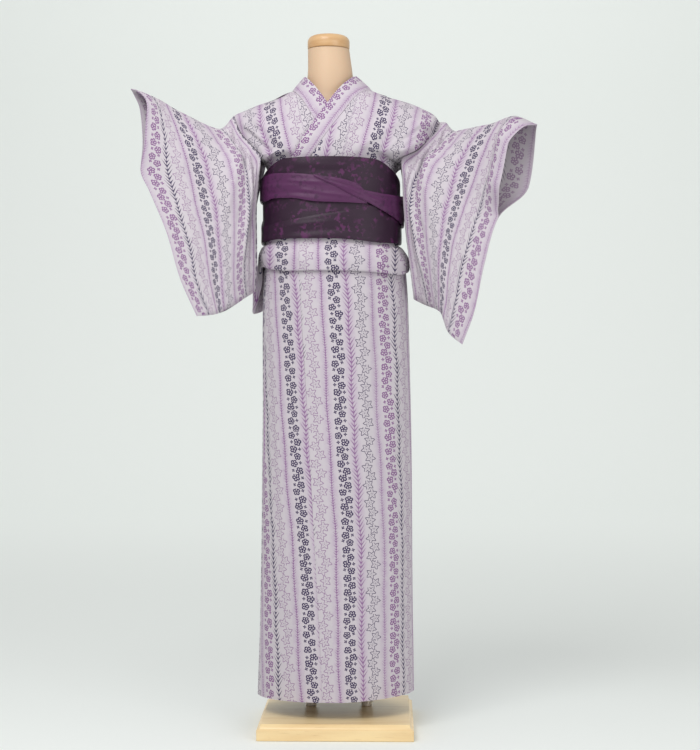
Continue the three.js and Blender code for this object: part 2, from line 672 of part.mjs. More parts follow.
// ---------- sleeves ----------
// Rounds a sleeve's top and bottom folds, where the front and the back layer meet: 0 at a fold, then 1.
function foldRounding(down) {
  const near = Math.min(down, 1 - down) / FOLD_REACH;
  return near >= 1 ? 1 : Math.sqrt(1 - (1 - near) ** 2);
}

const ribCurves = new Map();
function ribsOf(sleeve) {
  if (!ribCurves.has(sleeve)) {
    ribCurves.set(sleeve, {
      ribs: sleeve.ribs.map((rib) => ({ across: rib.across, at: curves(rib.rows, "down") })),
      mouth: curve(sleeve.mouth, "down", "inset"),
    });
  }
  return ribCurves.get(sleeve);
}

// face: -1 for the front layer and 1 for the back one.
function sleevePoint(sleeve, across, down, face) {
  const { ribs, mouth } = ribsOf(sleeve);
  const rows = ribs.map((rib) => ({ across: rib.across, ...rib.at(down) }));
  const read = (column) => curve(rows, "across", column)(across);
  const gap = read("gap") * foldRounding(down);
  const drawn = mouth(down) * smooth(clamp((across - 1 + MOUTH_REACH) / MOUTH_REACH, 0, 1));
  const spread = face > 0 ? BACK_SPREAD * (1 - across) ** 2 * smooth(clamp((down - 0.4) / 0.3, 0, 1)) : 0;
  const x = read("x") + sleeve.inward * ((face < 0 ? drawn : 0) * Math.sqrt(foldRounding(down)) - spread);
  return new THREE.Vector3(x, read("y") + (face * gap) / 2, read("z"));
}

function sleevePiece(name, sleeve) {
  const grid = steps(7).map((across) => {
    const front = SLEEVE_DOWNS.map((down) => sleevePoint(sleeve, across, down, -1));
    const back = SLEEVE_DOWNS.slice(1, -1).reverse().map((down) => sleevePoint(sleeve, across, down, 1));
    return front.concat(back);
  });
  add(name, wall(grid, CLOTH, true), cotton);
}

bodyPanel("body_right", SLEEVE_RIGHT, RIGHT_INNER, RIGHT_OUTER, 0);
bodyPanel("body_left", SLEEVE_LEFT, LEFT_INNER, LEFT_OUTER, OVER_WRAP);
sleevePiece("sleeve_right", SLEEVE_RIGHT);
sleevePiece("sleeve_left", SLEEVE_LEFT);
collarPiece();

// ---------- tucked fold ----------
// A doubled hem of slack cloth that hangs out from under the belt: outer layer, rounded fold, inner layer.
function tuckedFold(name, from, to, columns) {
  const edgeAt = curve(FOLD_EDGE, "angle", "z");
  const outAt = curve(FOLD_OUT, "down", "out");
  const grid = steps(columns).map((s) => {
    const angle = lerp(from + 0.1, to - 0.1, s);
    const low = edgeAt(angle);
    const slack = clamp((960 - low) / 60, 0, 1) * FLAP_OUT;
    const point = (down, out) => {
      const z = lerp(FOLD_TOP_Z, low, down);
      return onSection(skirtAt(z), angle, z, out + slack * down);
    };
    const outer = [0, 0.14, 0.32, 0.62, 0.88].map((down) => point(down, outAt(down)));
    const fold = [point(0.985, outAt(1) + 2), point(1, outAt(1) - 1), point(0.985, outAt(1) - 4)];
    const inside = [0.85, 0.4].map((down) => point(down, 2.5));
    return [...outer, ...fold, ...inside];
  });
  add(name, wall(grid, CLOTH), cotton);
}
tuckedFold("fold_front", -88, 90, 16);
tuckedFold("fold_back_left", 90, 180, 8);
tuckedFold("fold_back_right", -180, -88, 10);

// ---------- belt ----------
// A strip of belt between two edges, from one angle to another, at a distance out from the belt's body.
function beltStrip(name, low, high, from, to, columns, out, look, levels) {
  const grid = steps(columns).map((s) => {
    const angle = lerp(from, to, s);
    return steps(levels).map((up) => {
      const z = lerp(low(angle), high(angle), up);
      return onSection(beltAt(z), angle, z, out);
    });
  });
  add(name, wall(grid, BELT), look);
}
const beltTop = curve(BELT_TOP, "angle", "z");
const beltLow = curve(BELT_LOW, "angle", "z");
const wrapTop = curve(OUTER_WRAP_TOP, "angle", "z");
const rightLow = curve(BAND_RIGHT, "angle", "low");
const rightHigh = curve(BAND_RIGHT, "angle", "high");
const leftLow = curve(BAND_LEFT, "angle", "low");
const leftHigh = curve(BAND_LEFT, "angle", "high");
beltStrip("obi_wrap_inner", beltLow, beltTop, -179.5, 179.5, 40, -5, satin, 2);
beltStrip("obi_wrap_outer", beltLow, wrapTop, -150, 150, 34, -1.5, satin, 1);
beltStrip("obi_band_right", rightLow, rightHigh, -104, 28, 20, 1.2, bright, 2);
beltStrip("obi_band_left", leftLow, leftHigh, -10, 104, 18, 4, bright, 2);

// A loop of the bow: a flattened tube of belt cloth that droops away from the knot.
function bowLoop(name, outward) {
  const grid = steps(5).map((s) => {
    const x = BACK_CENTRE_X + outward * lerp(KNOT.halfWidth + 1.5, BOW.width, s);
    const middle = BOW.top - BOW.drop / 2 + BOW.rise * Math.sin(Math.PI * s) - 10 * s;
    const high = lerp(24, BOW.drop / 2, smooth(clamp(s * 1.6, 0, 1)));
    const deep = lerp(5, BOW.thick / 2, smooth(s));
    const lean = onSection(beltAt(1140), 180 - outward * 40 * s, 1140, 0).y + 18;
    return steps(14).slice(0, -1).map((turn) => {
      const angle = turn * 2 * Math.PI;
      return new THREE.Vector3(x, lean + deep * Math.cos(angle), middle + high * Math.sin(angle));
    });
  });
  add(name, wall(grid, BELT, true), satin);
}
bowLoop("obi_bow_right", -1);
bowLoop("obi_bow_left", 1);

// The knot is a soft rounded block between the two loops.
function knot() {
  const rings = steps(8).map((t) => {
    const up = lerp(-1, 1, t);
    const round = (1 - Math.abs(up) ** 3.2) ** (1 / 3.2);
    const size = lerp(0.62, 1, round);
    return steps(16).slice(0, -1).map((turn) => {
      const s = Math.sin(turn * 2 * Math.PI);
      const c = Math.cos(turn * 2 * Math.PI);
      const x = BACK_CENTRE_X + KNOT.halfWidth * size * Math.sign(s) * Math.abs(s) ** 0.75;
      const y = KNOT.y + KNOT.halfDepth * size * Math.sign(c) * Math.abs(c) ** 0.75;
      return new THREE.Vector3(x, y, KNOT.z + KNOT.halfHeight * up);
    });
  });
  add("obi_knot", filled(rings), satin);
}
knot();

// ---------- form and stand ----------
function sectionRing(section, z, count) {
  return steps(count).slice(0, -1).map((t) => onSection(section, t * 360, z, 0));
}
add("form_torso", filled(FORM.map((row) => sectionRing(row, row.z, 24))), skin);

function turned(profile, sides, x, y) {
  const geometry = new THREE.LatheGeometry(profile.map(([r, z]) => new THREE.Vector2(r, z)), sides);
  geometry.rotateX(Math.PI / 2);
  geometry.translate(x, y, 0);
  return geometry;
}

function neckCap() {
  const bottom = CAP.z;
  const rounded = steps(4).map((t) => {
    const angle = (t * Math.PI) / 2;
    const r = CAP.radius - CAP.round + CAP.round * Math.cos(angle);
    return [r, bottom + CAP.height - CAP.round + CAP.round * Math.sin(angle)];
  });
  return turned([[0, bottom], [CAP.radius - 2, bottom], [CAP.radius, bottom + 3], ...rounded,
    [0, bottom + CAP.height]], 20, CAP.x, 5);
}
add("neck_cap", neckCap(), wood);

for (const [side, sign] of [["right", -1], ["left", 1]]) {
  const x = POLE.shift + sign * POLE.x;
  const bottom = BASE.z + SEAM;
  const top = POLE.top - SEAM;
  const pole = [[0, bottom], [POLE.radius, bottom], [POLE.radius, top], [0, top]];
  add(`pole_${side}`, turned(pole, 16, x, POLE.y), metal);
  const inside = POLE.radius + SEAM;
  const ring = [[inside, POLE_RING.from], [POLE_RING.radius, POLE_RING.from],
    [POLE_RING.radius, POLE_RING.to], [inside, POLE_RING.to], [inside, POLE_RING.from]];
  add(`pole_ring_${side}`, turned(ring, 16, x, POLE.y), metal);
}

// The base plate has a square lower edge and a hollow moulding round its top.
function baseRing(inset, z) {
  const w = BASE.x / 2 - inset;
  const d = BASE.y / 2 - inset;
  return [[-w, -d], [w, -d], [w, d], [-w, d]].map(([x, y]) => new THREE.Vector3(x, y, z));
}
const moulding = steps(4).map((t) => {
  const angle = (t * Math.PI) / 2;
  const inset = 2 + (BASE.moulding - 2) * Math.sin(angle);
  return baseRing(inset, BASE.z - (BASE.z - BASE.edge) * Math.cos(angle));
});
add("stand_base", filled([baseRing(0, 0), baseRing(0, BASE.edge), ...moulding]), wood);

export default group;
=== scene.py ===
# Looks of a cotton yukata robe with its half-width belt, dressed on a limbless torso form with a stand.
# Tables and lengths are in millimetres, in the frame's axes: +Z up, +X the wearer's left, -Y the front.
# Meshes are made in metres.
import math
import bmesh
import bpy
import numpy as np
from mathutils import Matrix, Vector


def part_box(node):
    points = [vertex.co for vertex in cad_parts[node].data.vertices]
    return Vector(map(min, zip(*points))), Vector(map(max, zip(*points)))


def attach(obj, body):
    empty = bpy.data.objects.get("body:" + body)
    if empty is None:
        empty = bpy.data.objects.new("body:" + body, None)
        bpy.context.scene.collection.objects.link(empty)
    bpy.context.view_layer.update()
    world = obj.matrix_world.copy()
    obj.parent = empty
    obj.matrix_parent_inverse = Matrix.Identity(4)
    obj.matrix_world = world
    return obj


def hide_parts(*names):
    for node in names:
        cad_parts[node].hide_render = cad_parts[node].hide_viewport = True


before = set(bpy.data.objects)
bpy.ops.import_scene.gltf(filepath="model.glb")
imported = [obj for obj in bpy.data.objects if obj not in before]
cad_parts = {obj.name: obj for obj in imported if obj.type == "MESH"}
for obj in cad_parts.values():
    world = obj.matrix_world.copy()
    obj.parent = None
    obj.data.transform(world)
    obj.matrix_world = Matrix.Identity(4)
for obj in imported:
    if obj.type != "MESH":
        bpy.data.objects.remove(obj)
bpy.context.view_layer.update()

# ---------- driving dimensions ----------
MM = 0.001
FRONT = -1
BACK = 1
CLOTH = 1.2  # cotton wall
COLLAR_WALL = 2.4  # the collar is folded double
BELT = 2.0
UNDER_WRAP = 5  # how far the wearer's right front lies inside the left front
OVER_WRAP = 6  # how far the upper left front lies outside the upper right front
SKIRT_TOP_Z = 1040
FOLD_TOP_Z = 1058
HEM_Z = 72
HEM_STITCH = 21  # the hem's sewn line, up from its edge
PITCH = 27.0  # from one printed column to the next
SLEEVE_WIDTH = 345.0  # cut width, from the armhole to the cuff
SLEEVE_DROP = 490.0  # from the shoulder fold to the bottom fold
ARMHOLE_END = 0.45  # how far down a sleeve is sewn to the body
ARMHOLE_GAP = 1.0
ARMHOLE_T = 0.6  # the end of the armhole, in the body's levels
MOUTH_REACH = 0.3  # the share of a sleeve's width over which its mouth is drawn in
BACK_SPREAD = 12  # how far the back layer's inner edge lies beyond the front layer's
FOLD_ROLL = 0.035  # how far a sleeve's rounded fold reaches, as a share of its drop
NECK_GAP = 0.8
BACK_CENTRE_X = -15
CHEST_T = 0.7  # where the body's front edge leaves the collar
NAPE_T = 0.38  # where the back neck ends and the centre back seam starts
NAPE = 0.53  # the middle of the back neck, along the collar
FLAP_OUT = 16  # how far the fold's long corner stands out
FOLD_INNER = 2.5  # the fold's turned-up layer, out from the skirt
CREASE_GAIN = 1.7  # deepens the listed creases of the sleeves and the upper body
BELT_HIDES = 1195  # the robe has no creases below this height, where the belt covers it
BELT_RADIUS = 135  # turns an angle into mm round the belt
FOLD_RADIUS = 145
RIGHT_INNER = {"shoulder": 0.42, "chest": 0.03, "endX": 46, "endZ": 1064}
LEFT_INNER = {"shoulder": 0.64, "chest": 0.975, "endX": -112, "endZ": 1064}
BOW = {"start": 27.5, "width": 118, "drop": 96, "thick": 20, "top": 1176, "rise": 14}
KNOT = {"w": 26, "h": 30, "d": 17, "z": 1140, "y": 141}
HIDDEN_LAYERS = ("skirt_okumi_right", "skirt_front_right")

# ---------- colours (red, green, blue up to 255) and light (watts; the world's is a strength) ----------
GROUND_COOL = (194, 186, 194)
GROUND_WARM = (200, 193, 198)
STAIN = (168, 138, 174)
LILAC = (128, 84, 134)
DARK = (34, 10, 70)
REVERSE_FADE = 0.72
BACKDROP = (239, 243, 240)
WORLD = 0.62
KEY = 38
FILL = 26
WALL_WASH = 110

# ---------- camera (metres, mm and degrees) ----------
CAMERA_PLACE = (0.1129, -3.5983, 0.765)
CAMERA_TURN = 1.36
LENS = 78.96


def rows(names, *lines):
    """A table: one dictionary for each line."""
    keys = names.split()
    return [dict(zip(keys, line)) for line in lines]


def by_rib(table):
    """The rows of each rib, with its place across the sleeve."""
    places = sorted({row["across"] for row in table})
    return [(place, [row for row in table if row["across"] == place]) for place in places]


# ---------- sections of the dressed body, sleeves, edges: the same tables as the CAD model ----------
SKIRT = rows(
    "z cx cy a front back power",
    (60, -4, 3, 172, 128, 123, 2),
    (160, -3, 3, 169.5, 126, 121, 2),
    (273, -2.6, 3, 167.2, 125, 120, 2),
    (645, -1.7, 3, 163.5, 123, 118, 2),
    (863, -4.4, 2, 161, 122, 117, 2),
    (985, -6, 1, 156, 118, 114, 2.05),
    (1045, -13, 0, 143, 108, 106, 2.2),
)
TORSO = rows(
    "z cx cy a front back power",
    (1050, -13, 0, 141, 104, 102, 2.2),
    (1195, -13, 0, 141, 104, 98, 2.2),
    (1228, -13, 0, 143, 104, 98, 2.2),
    (1245, -13, 0, 180, 106, 98, 2.2),
    (1265, -13, 0, 200, 107, 97, 2.2),
    (1291, -12, 2, 218, 103, 94, 2.2),
    (1316, -9, 4, 230, 93, 85, 2.2),
    (1333, -7, 5, 220, 84, 77, 2.2),
    (1345, -5, 5, 197, 78, 73, 2.2),
    (1358, -4, 5, 168, 72, 69, 2.2),
    (1373, -6, 5, 120, 66, 65, 2.2),
    (1388, -14, 5, 92, 61, 62, 2.2),
    (1420, -16, 5, 66, 57, 62, 2.2),
)
BELT_BODY = rows(
    "z cx cy a front back power",
    (1040, -13, 0, 154, 119, 117, 2.25),
    (1180, -13, 0, 154.5, 120, 114, 2.25),
    (1235, -13, 0, 159, 124, 117, 2.25),
)
RIGHT_OUTER = rows(
    "t x z",
    (0.6, -162, 1227),
    (0.7, -151, 1206),
    (1, -152.5, 1064),
)
LEFT_OUTER = rows(
    "t x z",
    (0.6, 149, 1221),
    (0.7, 125.5, 1201),
    (1, 126.5, 1064),
)
COLLAR = rows(
    "at ix iz iy ox oz oy side",
    (0, 56, 1222, None, 15, 1222, None, 0),
    (0.1, 22, 1284, None, -16, 1270, None, 0),
    (0.24, -18, 1348, None, -52, 1323, None, 0),
    (0.34, -44, 1385, None, -77, 1363, None, 0),
    (0.42, -71, 1416, 0, -98, 1386, 4, 1),
    (0.46, -62, 1413, 50, -83, 1379, 50, 1),
    (0.53, -16, 1408, 86, -16, 1355, 77, 1),
    (0.6, 30, 1413, 50, 57, 1379, 50, 1),
    (0.64, 41, 1417, 0, 74, 1387, 4, 1),
    (0.72, 9, 1386, None, 44, 1367, None, 2),
    (0.82, -19, 1349, None, 12, 1324, None, 2),
    (0.92, -58, 1289, None, -23, 1276, None, 2),
    (1, -104, 1214, None, -64, 1216, None, 2),
)
FOLD_EDGE = rows(
    "angle z",
    (-180, 992),
    (-135, 985),
    (-112, 905),
    (-98, 900),
    (-90, 985),
    (-80, 1002),
    (-55, 992),
    (-35, 987),
    (0, 986.5),
    (30, 984),
    (55, 980),
    (75, 986),
    (90, 994),
    (180, 992),
)
FOLD_OUT = rows(
    "down out",
    (0, 0),
    (0.14, 1),
    (0.3, 9.5),
    (0.6, 14),
    (0.85, 11),
    (1, 8),
)
BELT_TOP = rows(
    "angle z",
    (-180, 1196),
    (-95, 1188),
    (-78, 1196),
    (-62, 1207),
    (-35, 1227),
    (0, 1228.5),
    (35, 1225),
    (62, 1203),
    (80, 1189),
    (95, 1182),
    (180, 1196),
)
BELT_LOW = rows(
    "angle z",
    (-180, 1052),
    (-90, 1050),
    (-45, 1056),
    (0, 1055),
    (45, 1048),
    (90, 1050),
    (180, 1052),
)
OUTER_WRAP_TOP = rows(
    "angle z",
    (-180, 1180),
    (-110, 1120),
    (-75, 1086),
    (-30, 1096),
    (15, 1116),
    (45, 1132),
    (90, 1140),
    (180, 1180),
)
BAND_RIGHT = rows(
    "angle low high",
    (-104, 1140, 1186),
    (-80, 1142, 1189),
    (-62, 1139, 1193),
    (-50, 1143, 1196),
    (-30, 1142, 1194),
    (-8, 1133, 1188),
    (18, 1130, 1172),
    (28, 1129, 1152),
)
BAND_LEFT = rows(
    "angle low high",
    (-10, 1186, 1190),
    (0, 1171, 1177),
    (14, 1148, 1165),
    (26, 1134, 1157),
    (45, 1114, 1151),
    (65, 1098, 1150),
    (85, 1087, 1153),
    (104, 1088, 1156),
)
RIGHT_RIBS = rows(
    "across down x y z gap",
    (0, 0, -227, 5, 1334, 60),
    (0, 0.1, -211, 3, 1293, 84),
    (0, 0.25, -181, -4, 1256, 116),
    (0, 0.45, -162, -10, 1227, 120),
    (0, 0.65, -172, -18, 1113, 76),
    (0, 0.85, -171, -22, 1010, 64),
    (0, 1, -176, -24, 948, 40),
    (0.24, 0, -258, -3, 1303, 44),
    (0.24, 0.1, -230, -16, 1270, 70),
    (0.24, 0.25, -200, -40, 1224, 82),
    (0.24, 0.45, -189, -62, 1146, 70),
    (0.24, 0.65, -194, -66, 1068, 56),
    (0.24, 0.85, -198, -67, 990, 44),
    (0.24, 1, -195, -67, 933, 28),
    (0.56, 0, -338, -52, 1333, 40),
    (0.56, 0.1, -316, -63, 1290, 52),
    (0.56, 0.25, -289, -76, 1221, 54),
    (0.56, 0.45, -266, -88, 1134, 46),
    (0.56, 0.65, -252, -96, 1048, 38),
    (0.56, 0.85, -245, -102, 966, 30),
    (0.56, 1, -240, -106, 901, 18),
    (0.8, 0, -388, -86, 1359, 30),
    (0.8, 0.1, -370, -94, 1316, 40),
    (0.8, 0.25, -352, -102, 1240, 38),
    (0.8, 0.45, -331, -110, 1150, 26),
    (0.8, 0.65, -302, -117, 1058, 20),
    (0.8, 0.85, -284, -121, 968, 15),
    (0.8, 1, -262, -122, 893, 10),
    (1, 0, -436, -112, 1373, 26),
    (1, 0.1, -418, -118, 1330, 34),
    (1, 0.25, -411, -124, 1252, 24),
    (1, 0.36, -414, -127, 1200, 8),
    (1, 0.45, -395, -130, 1157, 2.2),
    (1, 0.65, -356, -136, 1064, 2.2),
    (1, 0.85, -328, -140, 970, 2.2),
    (1, 1, -293, -136, 890, 2.2),
)
SLEEVE_RIGHT = {
    "ribs": by_rib(RIGHT_RIBS),
    "mouth": rows(
        "down inset",
        (0, 12),
        (0.06, 22),
        (0.2, 10),
        (0.45, 0),
        (1, 0),
    ),
    "inward": 1,
}
LEFT_RIBS = rows(
    "across down x y z gap",
    (0, 0, 236, 5, 1318, 56),
    (0, 0.1, 210, 3, 1285, 84),
    (0, 0.25, 177, -4, 1250, 116),
    (0, 0.45, 139, -10, 1221, 118),
    (0, 0.65, 145, -18, 1104, 76),
    (0, 0.85, 156, -22, 1008, 64),
    (0, 1, 166, -24, 930, 40),
    (0.24, 0, 260, -4, 1297, 44),
    (0.24, 0.1, 229, -18, 1262, 70),
    (0.24, 0.25, 186, -43, 1214, 82),
    (0.24, 0.45, 166, -61, 1136, 70),
    (0.24, 0.65, 174, -63, 1054, 56),
    (0.24, 0.85, 189, -62, 974, 44),
    (0.24, 1, 200, -60, 912, 28),
    (0.56, 0, 329, -62, 1304, 42),
    (0.56, 0.1, 302, -75, 1264, 54),
    (0.56, 0.25, 274, -88, 1198, 56),
    (0.56, 0.45, 247, -100, 1121, 46),
    (0.56, 0.65, 229, -106, 1044, 38),
    (0.56, 0.85, 222, -108, 963, 30),
    (0.56, 1, 222, -106, 899, 18),
    (0.8, 0, 374, -106, 1313, 42),
    (0.8, 0.1, 356, -110, 1266, 62),
    (0.8, 0.25, 338, -117, 1186, 62),
    (0.8, 0.45, 298, -124, 1107, 30),
    (0.8, 0.65, 268, -130, 1021, 20),
    (0.8, 0.85, 249, -134, 930, 15),
    (0.8, 1, 236, -138, 858, 10),
    (1, 0, 423, -148, 1289, 46),
    (1, 0.1, 420, -150, 1240, 76),
    (1, 0.25, 409, -150, 1164, 84),
    (1, 0.45, 341, -150, 1093, 4),
    (1, 0.65, 312, -156, 997, 2.2),
    (1, 0.85, 291, -160, 898, 2.2),
    (1, 1, 266, -156, 829, 2.2),
)
SLEEVE_LEFT = {
    "ribs": by_rib(LEFT_RIBS),
    "mouth": rows(
        "down inset",
        (0, 26),
        (0.1, 62),
        (0.25, 66),
        (0.4, 16),
        (0.45, 0),
        (1, 0),
    ),
    "inward": -1,
}
FORM = rows(
    "z cx cy a front back power",
    (760, -3, 4, 128, 88, 84, 2),
    (775, -3, 4, 142, 101, 97, 2),
    (860, -4, 3, 149, 109, 104, 2),
    (985, -7, 1, 136, 99, 96, 2),
    (1060, -12, 0, 126, 91, 90, 2.1),
    (1180, -13, 0, 128, 92, 87, 2.1),
    (1250, -13, 0, 142, 95, 84, 2.1),
    (1295, -12, 2, 152, 84, 76, 2.1),
    (1322, -11, 4, 148, 68, 64, 2.1),
    (1345, -13, 5, 116, 55, 54, 2),
    (1362, -15, 5, 78, 47, 46, 2),
    (1380, -16, 5, 58, 44, 42, 2),
    (1418, -16, 5, 50, 44, 42, 2),
    (1477.7, -19.5, 5, 45.5, 43, 41, 2),
)


# ---------- smooth reading of the tables ----------
def curve(table, by, column):
    """A column of a table as a smooth function of another column, with no overshoot between rows."""
    xs = np.array([row[by] for row in table], float)
    ys = np.array([row[column] for row in table], float)
    d = np.diff(ys) / np.diff(xs)
    h = np.diff(xs)
    m = np.zeros(len(xs))
    m[0] = d[0]
    m[-1] = d[-1]
    for i in range(1, len(xs) - 1):
        if d[i - 1] * d[i] > 0:
            w1 = 2 * h[i] + h[i - 1]
            w2 = h[i] + 2 * h[i - 1]
            m[i] = (w1 + w2) / (w1 / d[i - 1] + w2 / d[i])

    def read(at):
        x = np.clip(at, xs[0], xs[-1])
        i = np.clip(np.searchsorted(xs, x, side="right") - 1, 0, len(xs) - 2)
        t = (x - xs[i]) / h[i]
        t2 = t * t
        t3 = t2 * t
        low = (2 * t3 - 3 * t2 + 1) * ys[i] + (t3 - 2 * t2 + t) * h[i] * m[i]
        return low + (3 * t2 - 2 * t3) * ys[i + 1] + (t3 - t2) * h[i] * m[i + 1]

    return read


def curves(table, by):
    parts = {name: curve(table, by, name) for name in table[0] if name != by}
    return lambda at: {name: f(at) for name, f in parts.items()}


def lerp(a, b, t):
    return a + (b - a) * t


def clamp(v, low=0.0, high=1.0):
    return np.clip(v, low, high)


def smooth(t):
    return t * t * (3 - 2 * t)


def stack(x, y, z):
    return np.stack(np.broadcast_arrays(x, y, z), axis=-1).astype(float)


skirt_at = curves(SKIRT, "z")
torso_at = curves(TORSO, "z")
belt_at = curves(BELT_BODY, "z")


def on_section(section, degrees, z, out):
    """Points on a section at an angle from the front, moved out by a distance."""
    a = np.radians(degrees)
    s = np.sin(a)
    c = np.cos(a)
    e = 2 / section["power"]
    depth = np.where(c > 0, section["front"], section["back"])
    x = section["cx"] + (section["a"] + out) * np.sign(s) * np.abs(s) ** e
    y = section["cy"] - (depth + out) * np.sign(c) * np.abs(c) ** e
    return stack(x, y, z)


def torso_depth(x, z, face):
    s = torso_at(z)
    q = clamp(np.abs(x - s["cx"]) / s["a"])
    reach = (1 - q ** s["power"]) ** (1 / s["power"])
    return s["cy"] + face * (s["front"] if face < 0 else s["back"]) * reach


def shoulder_z(x):
    """The height of the shoulder fold at x."""
    low = np.full(np.shape(x), 1300.0)
    high = np.full(np.shape(x), 1400.0)
    for _ in range(26):
        z = (low + high) / 2
        s = torso_at(z)
        inside = np.abs(x - s["cx"]) < s["a"]
        low = np.where(inside, z, low)
        high = np.where(inside, high, z)
    return low


# ---------- meshes ----------
def normals(grid, closed, face_out):
    """Unit outward normals of a sheet. A closed sheet's last column lies on its first."""
    if closed:
        wide = np.concatenate([grid[:, -2:-1], grid, grid[:, 1:2]], axis=1)
    else:
        wide = np.concatenate([grid[:, :1], grid, grid[:, -1:]], axis=1)
    across = wide[:, 2:] - wide[:, :-2]
    along = np.gradient(grid, axis=0)
    n = np.cross(along, across)
    return face_out * n / np.maximum(np.linalg.norm(n, axis=-1, keepdims=True), 1e-9)


def distance_along(points):
    """Distance from the first point to each point of a line, as a column."""
    steps = np.linalg.norm(np.diff(points, axis=0), axis=-1)
    return np.concatenate([[0], np.cumsum(steps)])[:, None]


def new_object(name, points, faces, looks):
    """A mesh object from points in metres."""
    mesh = bpy.data.meshes.new(name)
    mesh.from_pydata(points, [], faces)
    for look in looks:
        mesh.materials.append(look)
    obj = bpy.data.objects.new(name, mesh)
    bpy.context.scene.collection.objects.link(obj)
    return obj


def soften(mesh, sharp=50):
    """Smooth shading, except at edges sharper than an angle in degrees."""
    mesh.polygons.foreach_set("use_smooth", np.ones(len(mesh.polygons), dtype=bool))
    mesh.set_sharp_from_angle(angle=math.radians(sharp))


def stand_for(obj, node):
    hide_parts(node)
    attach(obj, "root")


def loft(name, node, rings, look, sharp):
    """A solid through rings of points in mm, closed at both ends."""
    count, sides = rings.shape[:2]
    at = np.arange(count * sides).reshape(count, sides)
    after = np.roll(at, -1, axis=1)
    walls = np.stack([at[:-1], after[:-1], after[1:], at[1:]], -1).reshape(-1, 4)
    ends = [at[0, ::-1].tolist(), at[-1].tolist()]
    obj = new_object(name, (rings.reshape(-1, 3) * MM).tolist(), walls.tolist() + ends, [look])
    soften(obj.data, sharp)
    stand_for(obj, node)


def shell(name, grid, cloth, thickness, looks, closed=False, face_out=1.0, relief=None):
    """A sheet's points, rows by columns, become a thin closed shell. cloth holds each point's place in the
    print, in columns and in pitches along them. relief moves points along the outward normal."""
    n = normals(grid, closed, face_out)
    if relief is not None:
        grid = grid + n * relief[..., None]
        n = normals(grid, closed, face_out)
    rows_n, cols_n = grid.shape[:2]
    outer = (grid + n * thickness / 2) * MM
    inner = (grid - n * thickness / 2) * MM
    points = np.concatenate([outer.reshape(-1, 3), inner.reshape(-1, 3)])
    half = rows_n * cols_n
    ids = np.arange(half).reshape(rows_n, cols_n)
    a, b, c, d = ids[:-1, :-1], ids[:-1, 1:], ids[1:, 1:], ids[1:, :-1]
    front = np.stack([a, b, c, d], -1).reshape(-1, 4)
    back = np.stack([a, d, c, b], -1).reshape(-1, 4) + half
    rims = [
        np.stack([ids[0, :-1], ids[0, :-1] + half, ids[0, 1:] + half, ids[0, 1:]], -1),
        np.stack([ids[-1, :-1], ids[-1, 1:], ids[-1, 1:] + half, ids[-1, :-1] + half], -1),
    ]
    if not closed:
        rims.append(np.stack([ids[:-1, 0], ids[1:, 0], ids[1:, 0] + half, ids[:-1, 0] + half], -1))
        rims.append(np.stack([ids[:-1, -1], ids[:-1, -1] + half, ids[1:, -1] + half, ids[1:, -1]], -1))
    rim = np.concatenate(rims)
    faces = np.concatenate([front, back, rim])
    if face_out > 0:
        faces = faces[:, ::-1]
    obj = new_object(name, points.tolist(), faces.tolist(), looks)
    mesh = obj.data
    layer = mesh.uv_layers.new(name="cloth")
    place = np.concatenate([cloth.reshape(-1, 2)] * 2)
    loops = np.zeros(len(mesh.loops), dtype=np.int32)
    mesh.loops.foreach_get("vertex_index", loops)
    layer.data.foreach_set("uv", place[loops].astype(np.float32).ravel())
    inside = np.zeros(len(faces), dtype=np.int32)
    if len(looks) > 1:
        inside[len(front):len(front) + len(back)] = 1
    mesh.polygons.foreach_set("material_index", inside)
    if closed:
        weld(mesh)
    soften(mesh)
    mesh.update()
    return obj


def weld(mesh):
    """Joins the two edges of a closed sheet that lie on each other."""
    bm = bmesh.new()
    bm.from_mesh(mesh)
    bmesh.ops.remove_doubles(bm, verts=bm.verts, dist=2e-6)
    bm.to_mesh(mesh)
    bm.free()


def finish_cloth(obj, node):
    stand_for(obj, node)


def crease(p, q, start, end, width, depth, ends=0.25):
    """A soft trough (depth below 0) or ridge along a straight line on a sheet, fading at both ends.
    p, q: the sheet's own coordinates in mm; start, end: the line's ends in them."""
    ax, ay = start
    dx, dy = end[0] - ax, end[1] - ay
    length = math.hypot(dx, dy)
    t = ((p - ax) * dx + (q - ay) * dy) / length ** 2
    off = ((p - ax) * dy - (q - ay) * dx) / length
    fade = smooth(clamp(t / ends)) * smooth(clamp((1 - t) / ends))
    return depth * np.exp(-((off / width) ** 2)) * fade


def creases(p, q, lines):
    return sum((crease(p, q, *line) for line in lines), np.zeros(np.broadcast(p, q).shape))


def ripple(p, q, seed, scale, height):
    """Slow uneven waves: a sum of a few sines, the same on every run."""
    rng = np.random.default_rng(seed)
    total = np.zeros(np.broadcast(p, q).shape)
    for _ in range(6):
        angle = rng.uniform(0, 2 * math.pi)
        f = rng.uniform(0.6, 1.6) * 2 * math.pi / scale
        total = total + np.sin((p * math.cos(angle) + q * math.sin(angle)) * f + rng.uniform(0, 6.28))
    return height * total / 6


def seam_dip(distance, depth=0.9, width=3.0):
    """The roll of cloth down into a seam, by distance from it in mm."""
    return -depth * np.exp(-((distance / width) ** 2))


# ---------- skirt ----------
def hem_z(turn):
    """The hem's height at an angle. It is higher from the hidden overlap round to the centre back."""
    s = np.sin(np.radians(turn))
    lift = 6 * smooth(clamp(s)) - 2 * smooth(clamp(-s))
    return HEM_Z + lift + np.where(turn > -200, UNDER_WRAP, 0)


def okumi_seam(up):
    """The angle of the seam between the left front and its overlap, by the share of the height."""
    return -360 - lerp(8, 28.8, up)


def shown_edge(up):
    """The angle of the overlap's free edge."""
    return -360 - lerp(84, 71, clamp(up / 0.55))


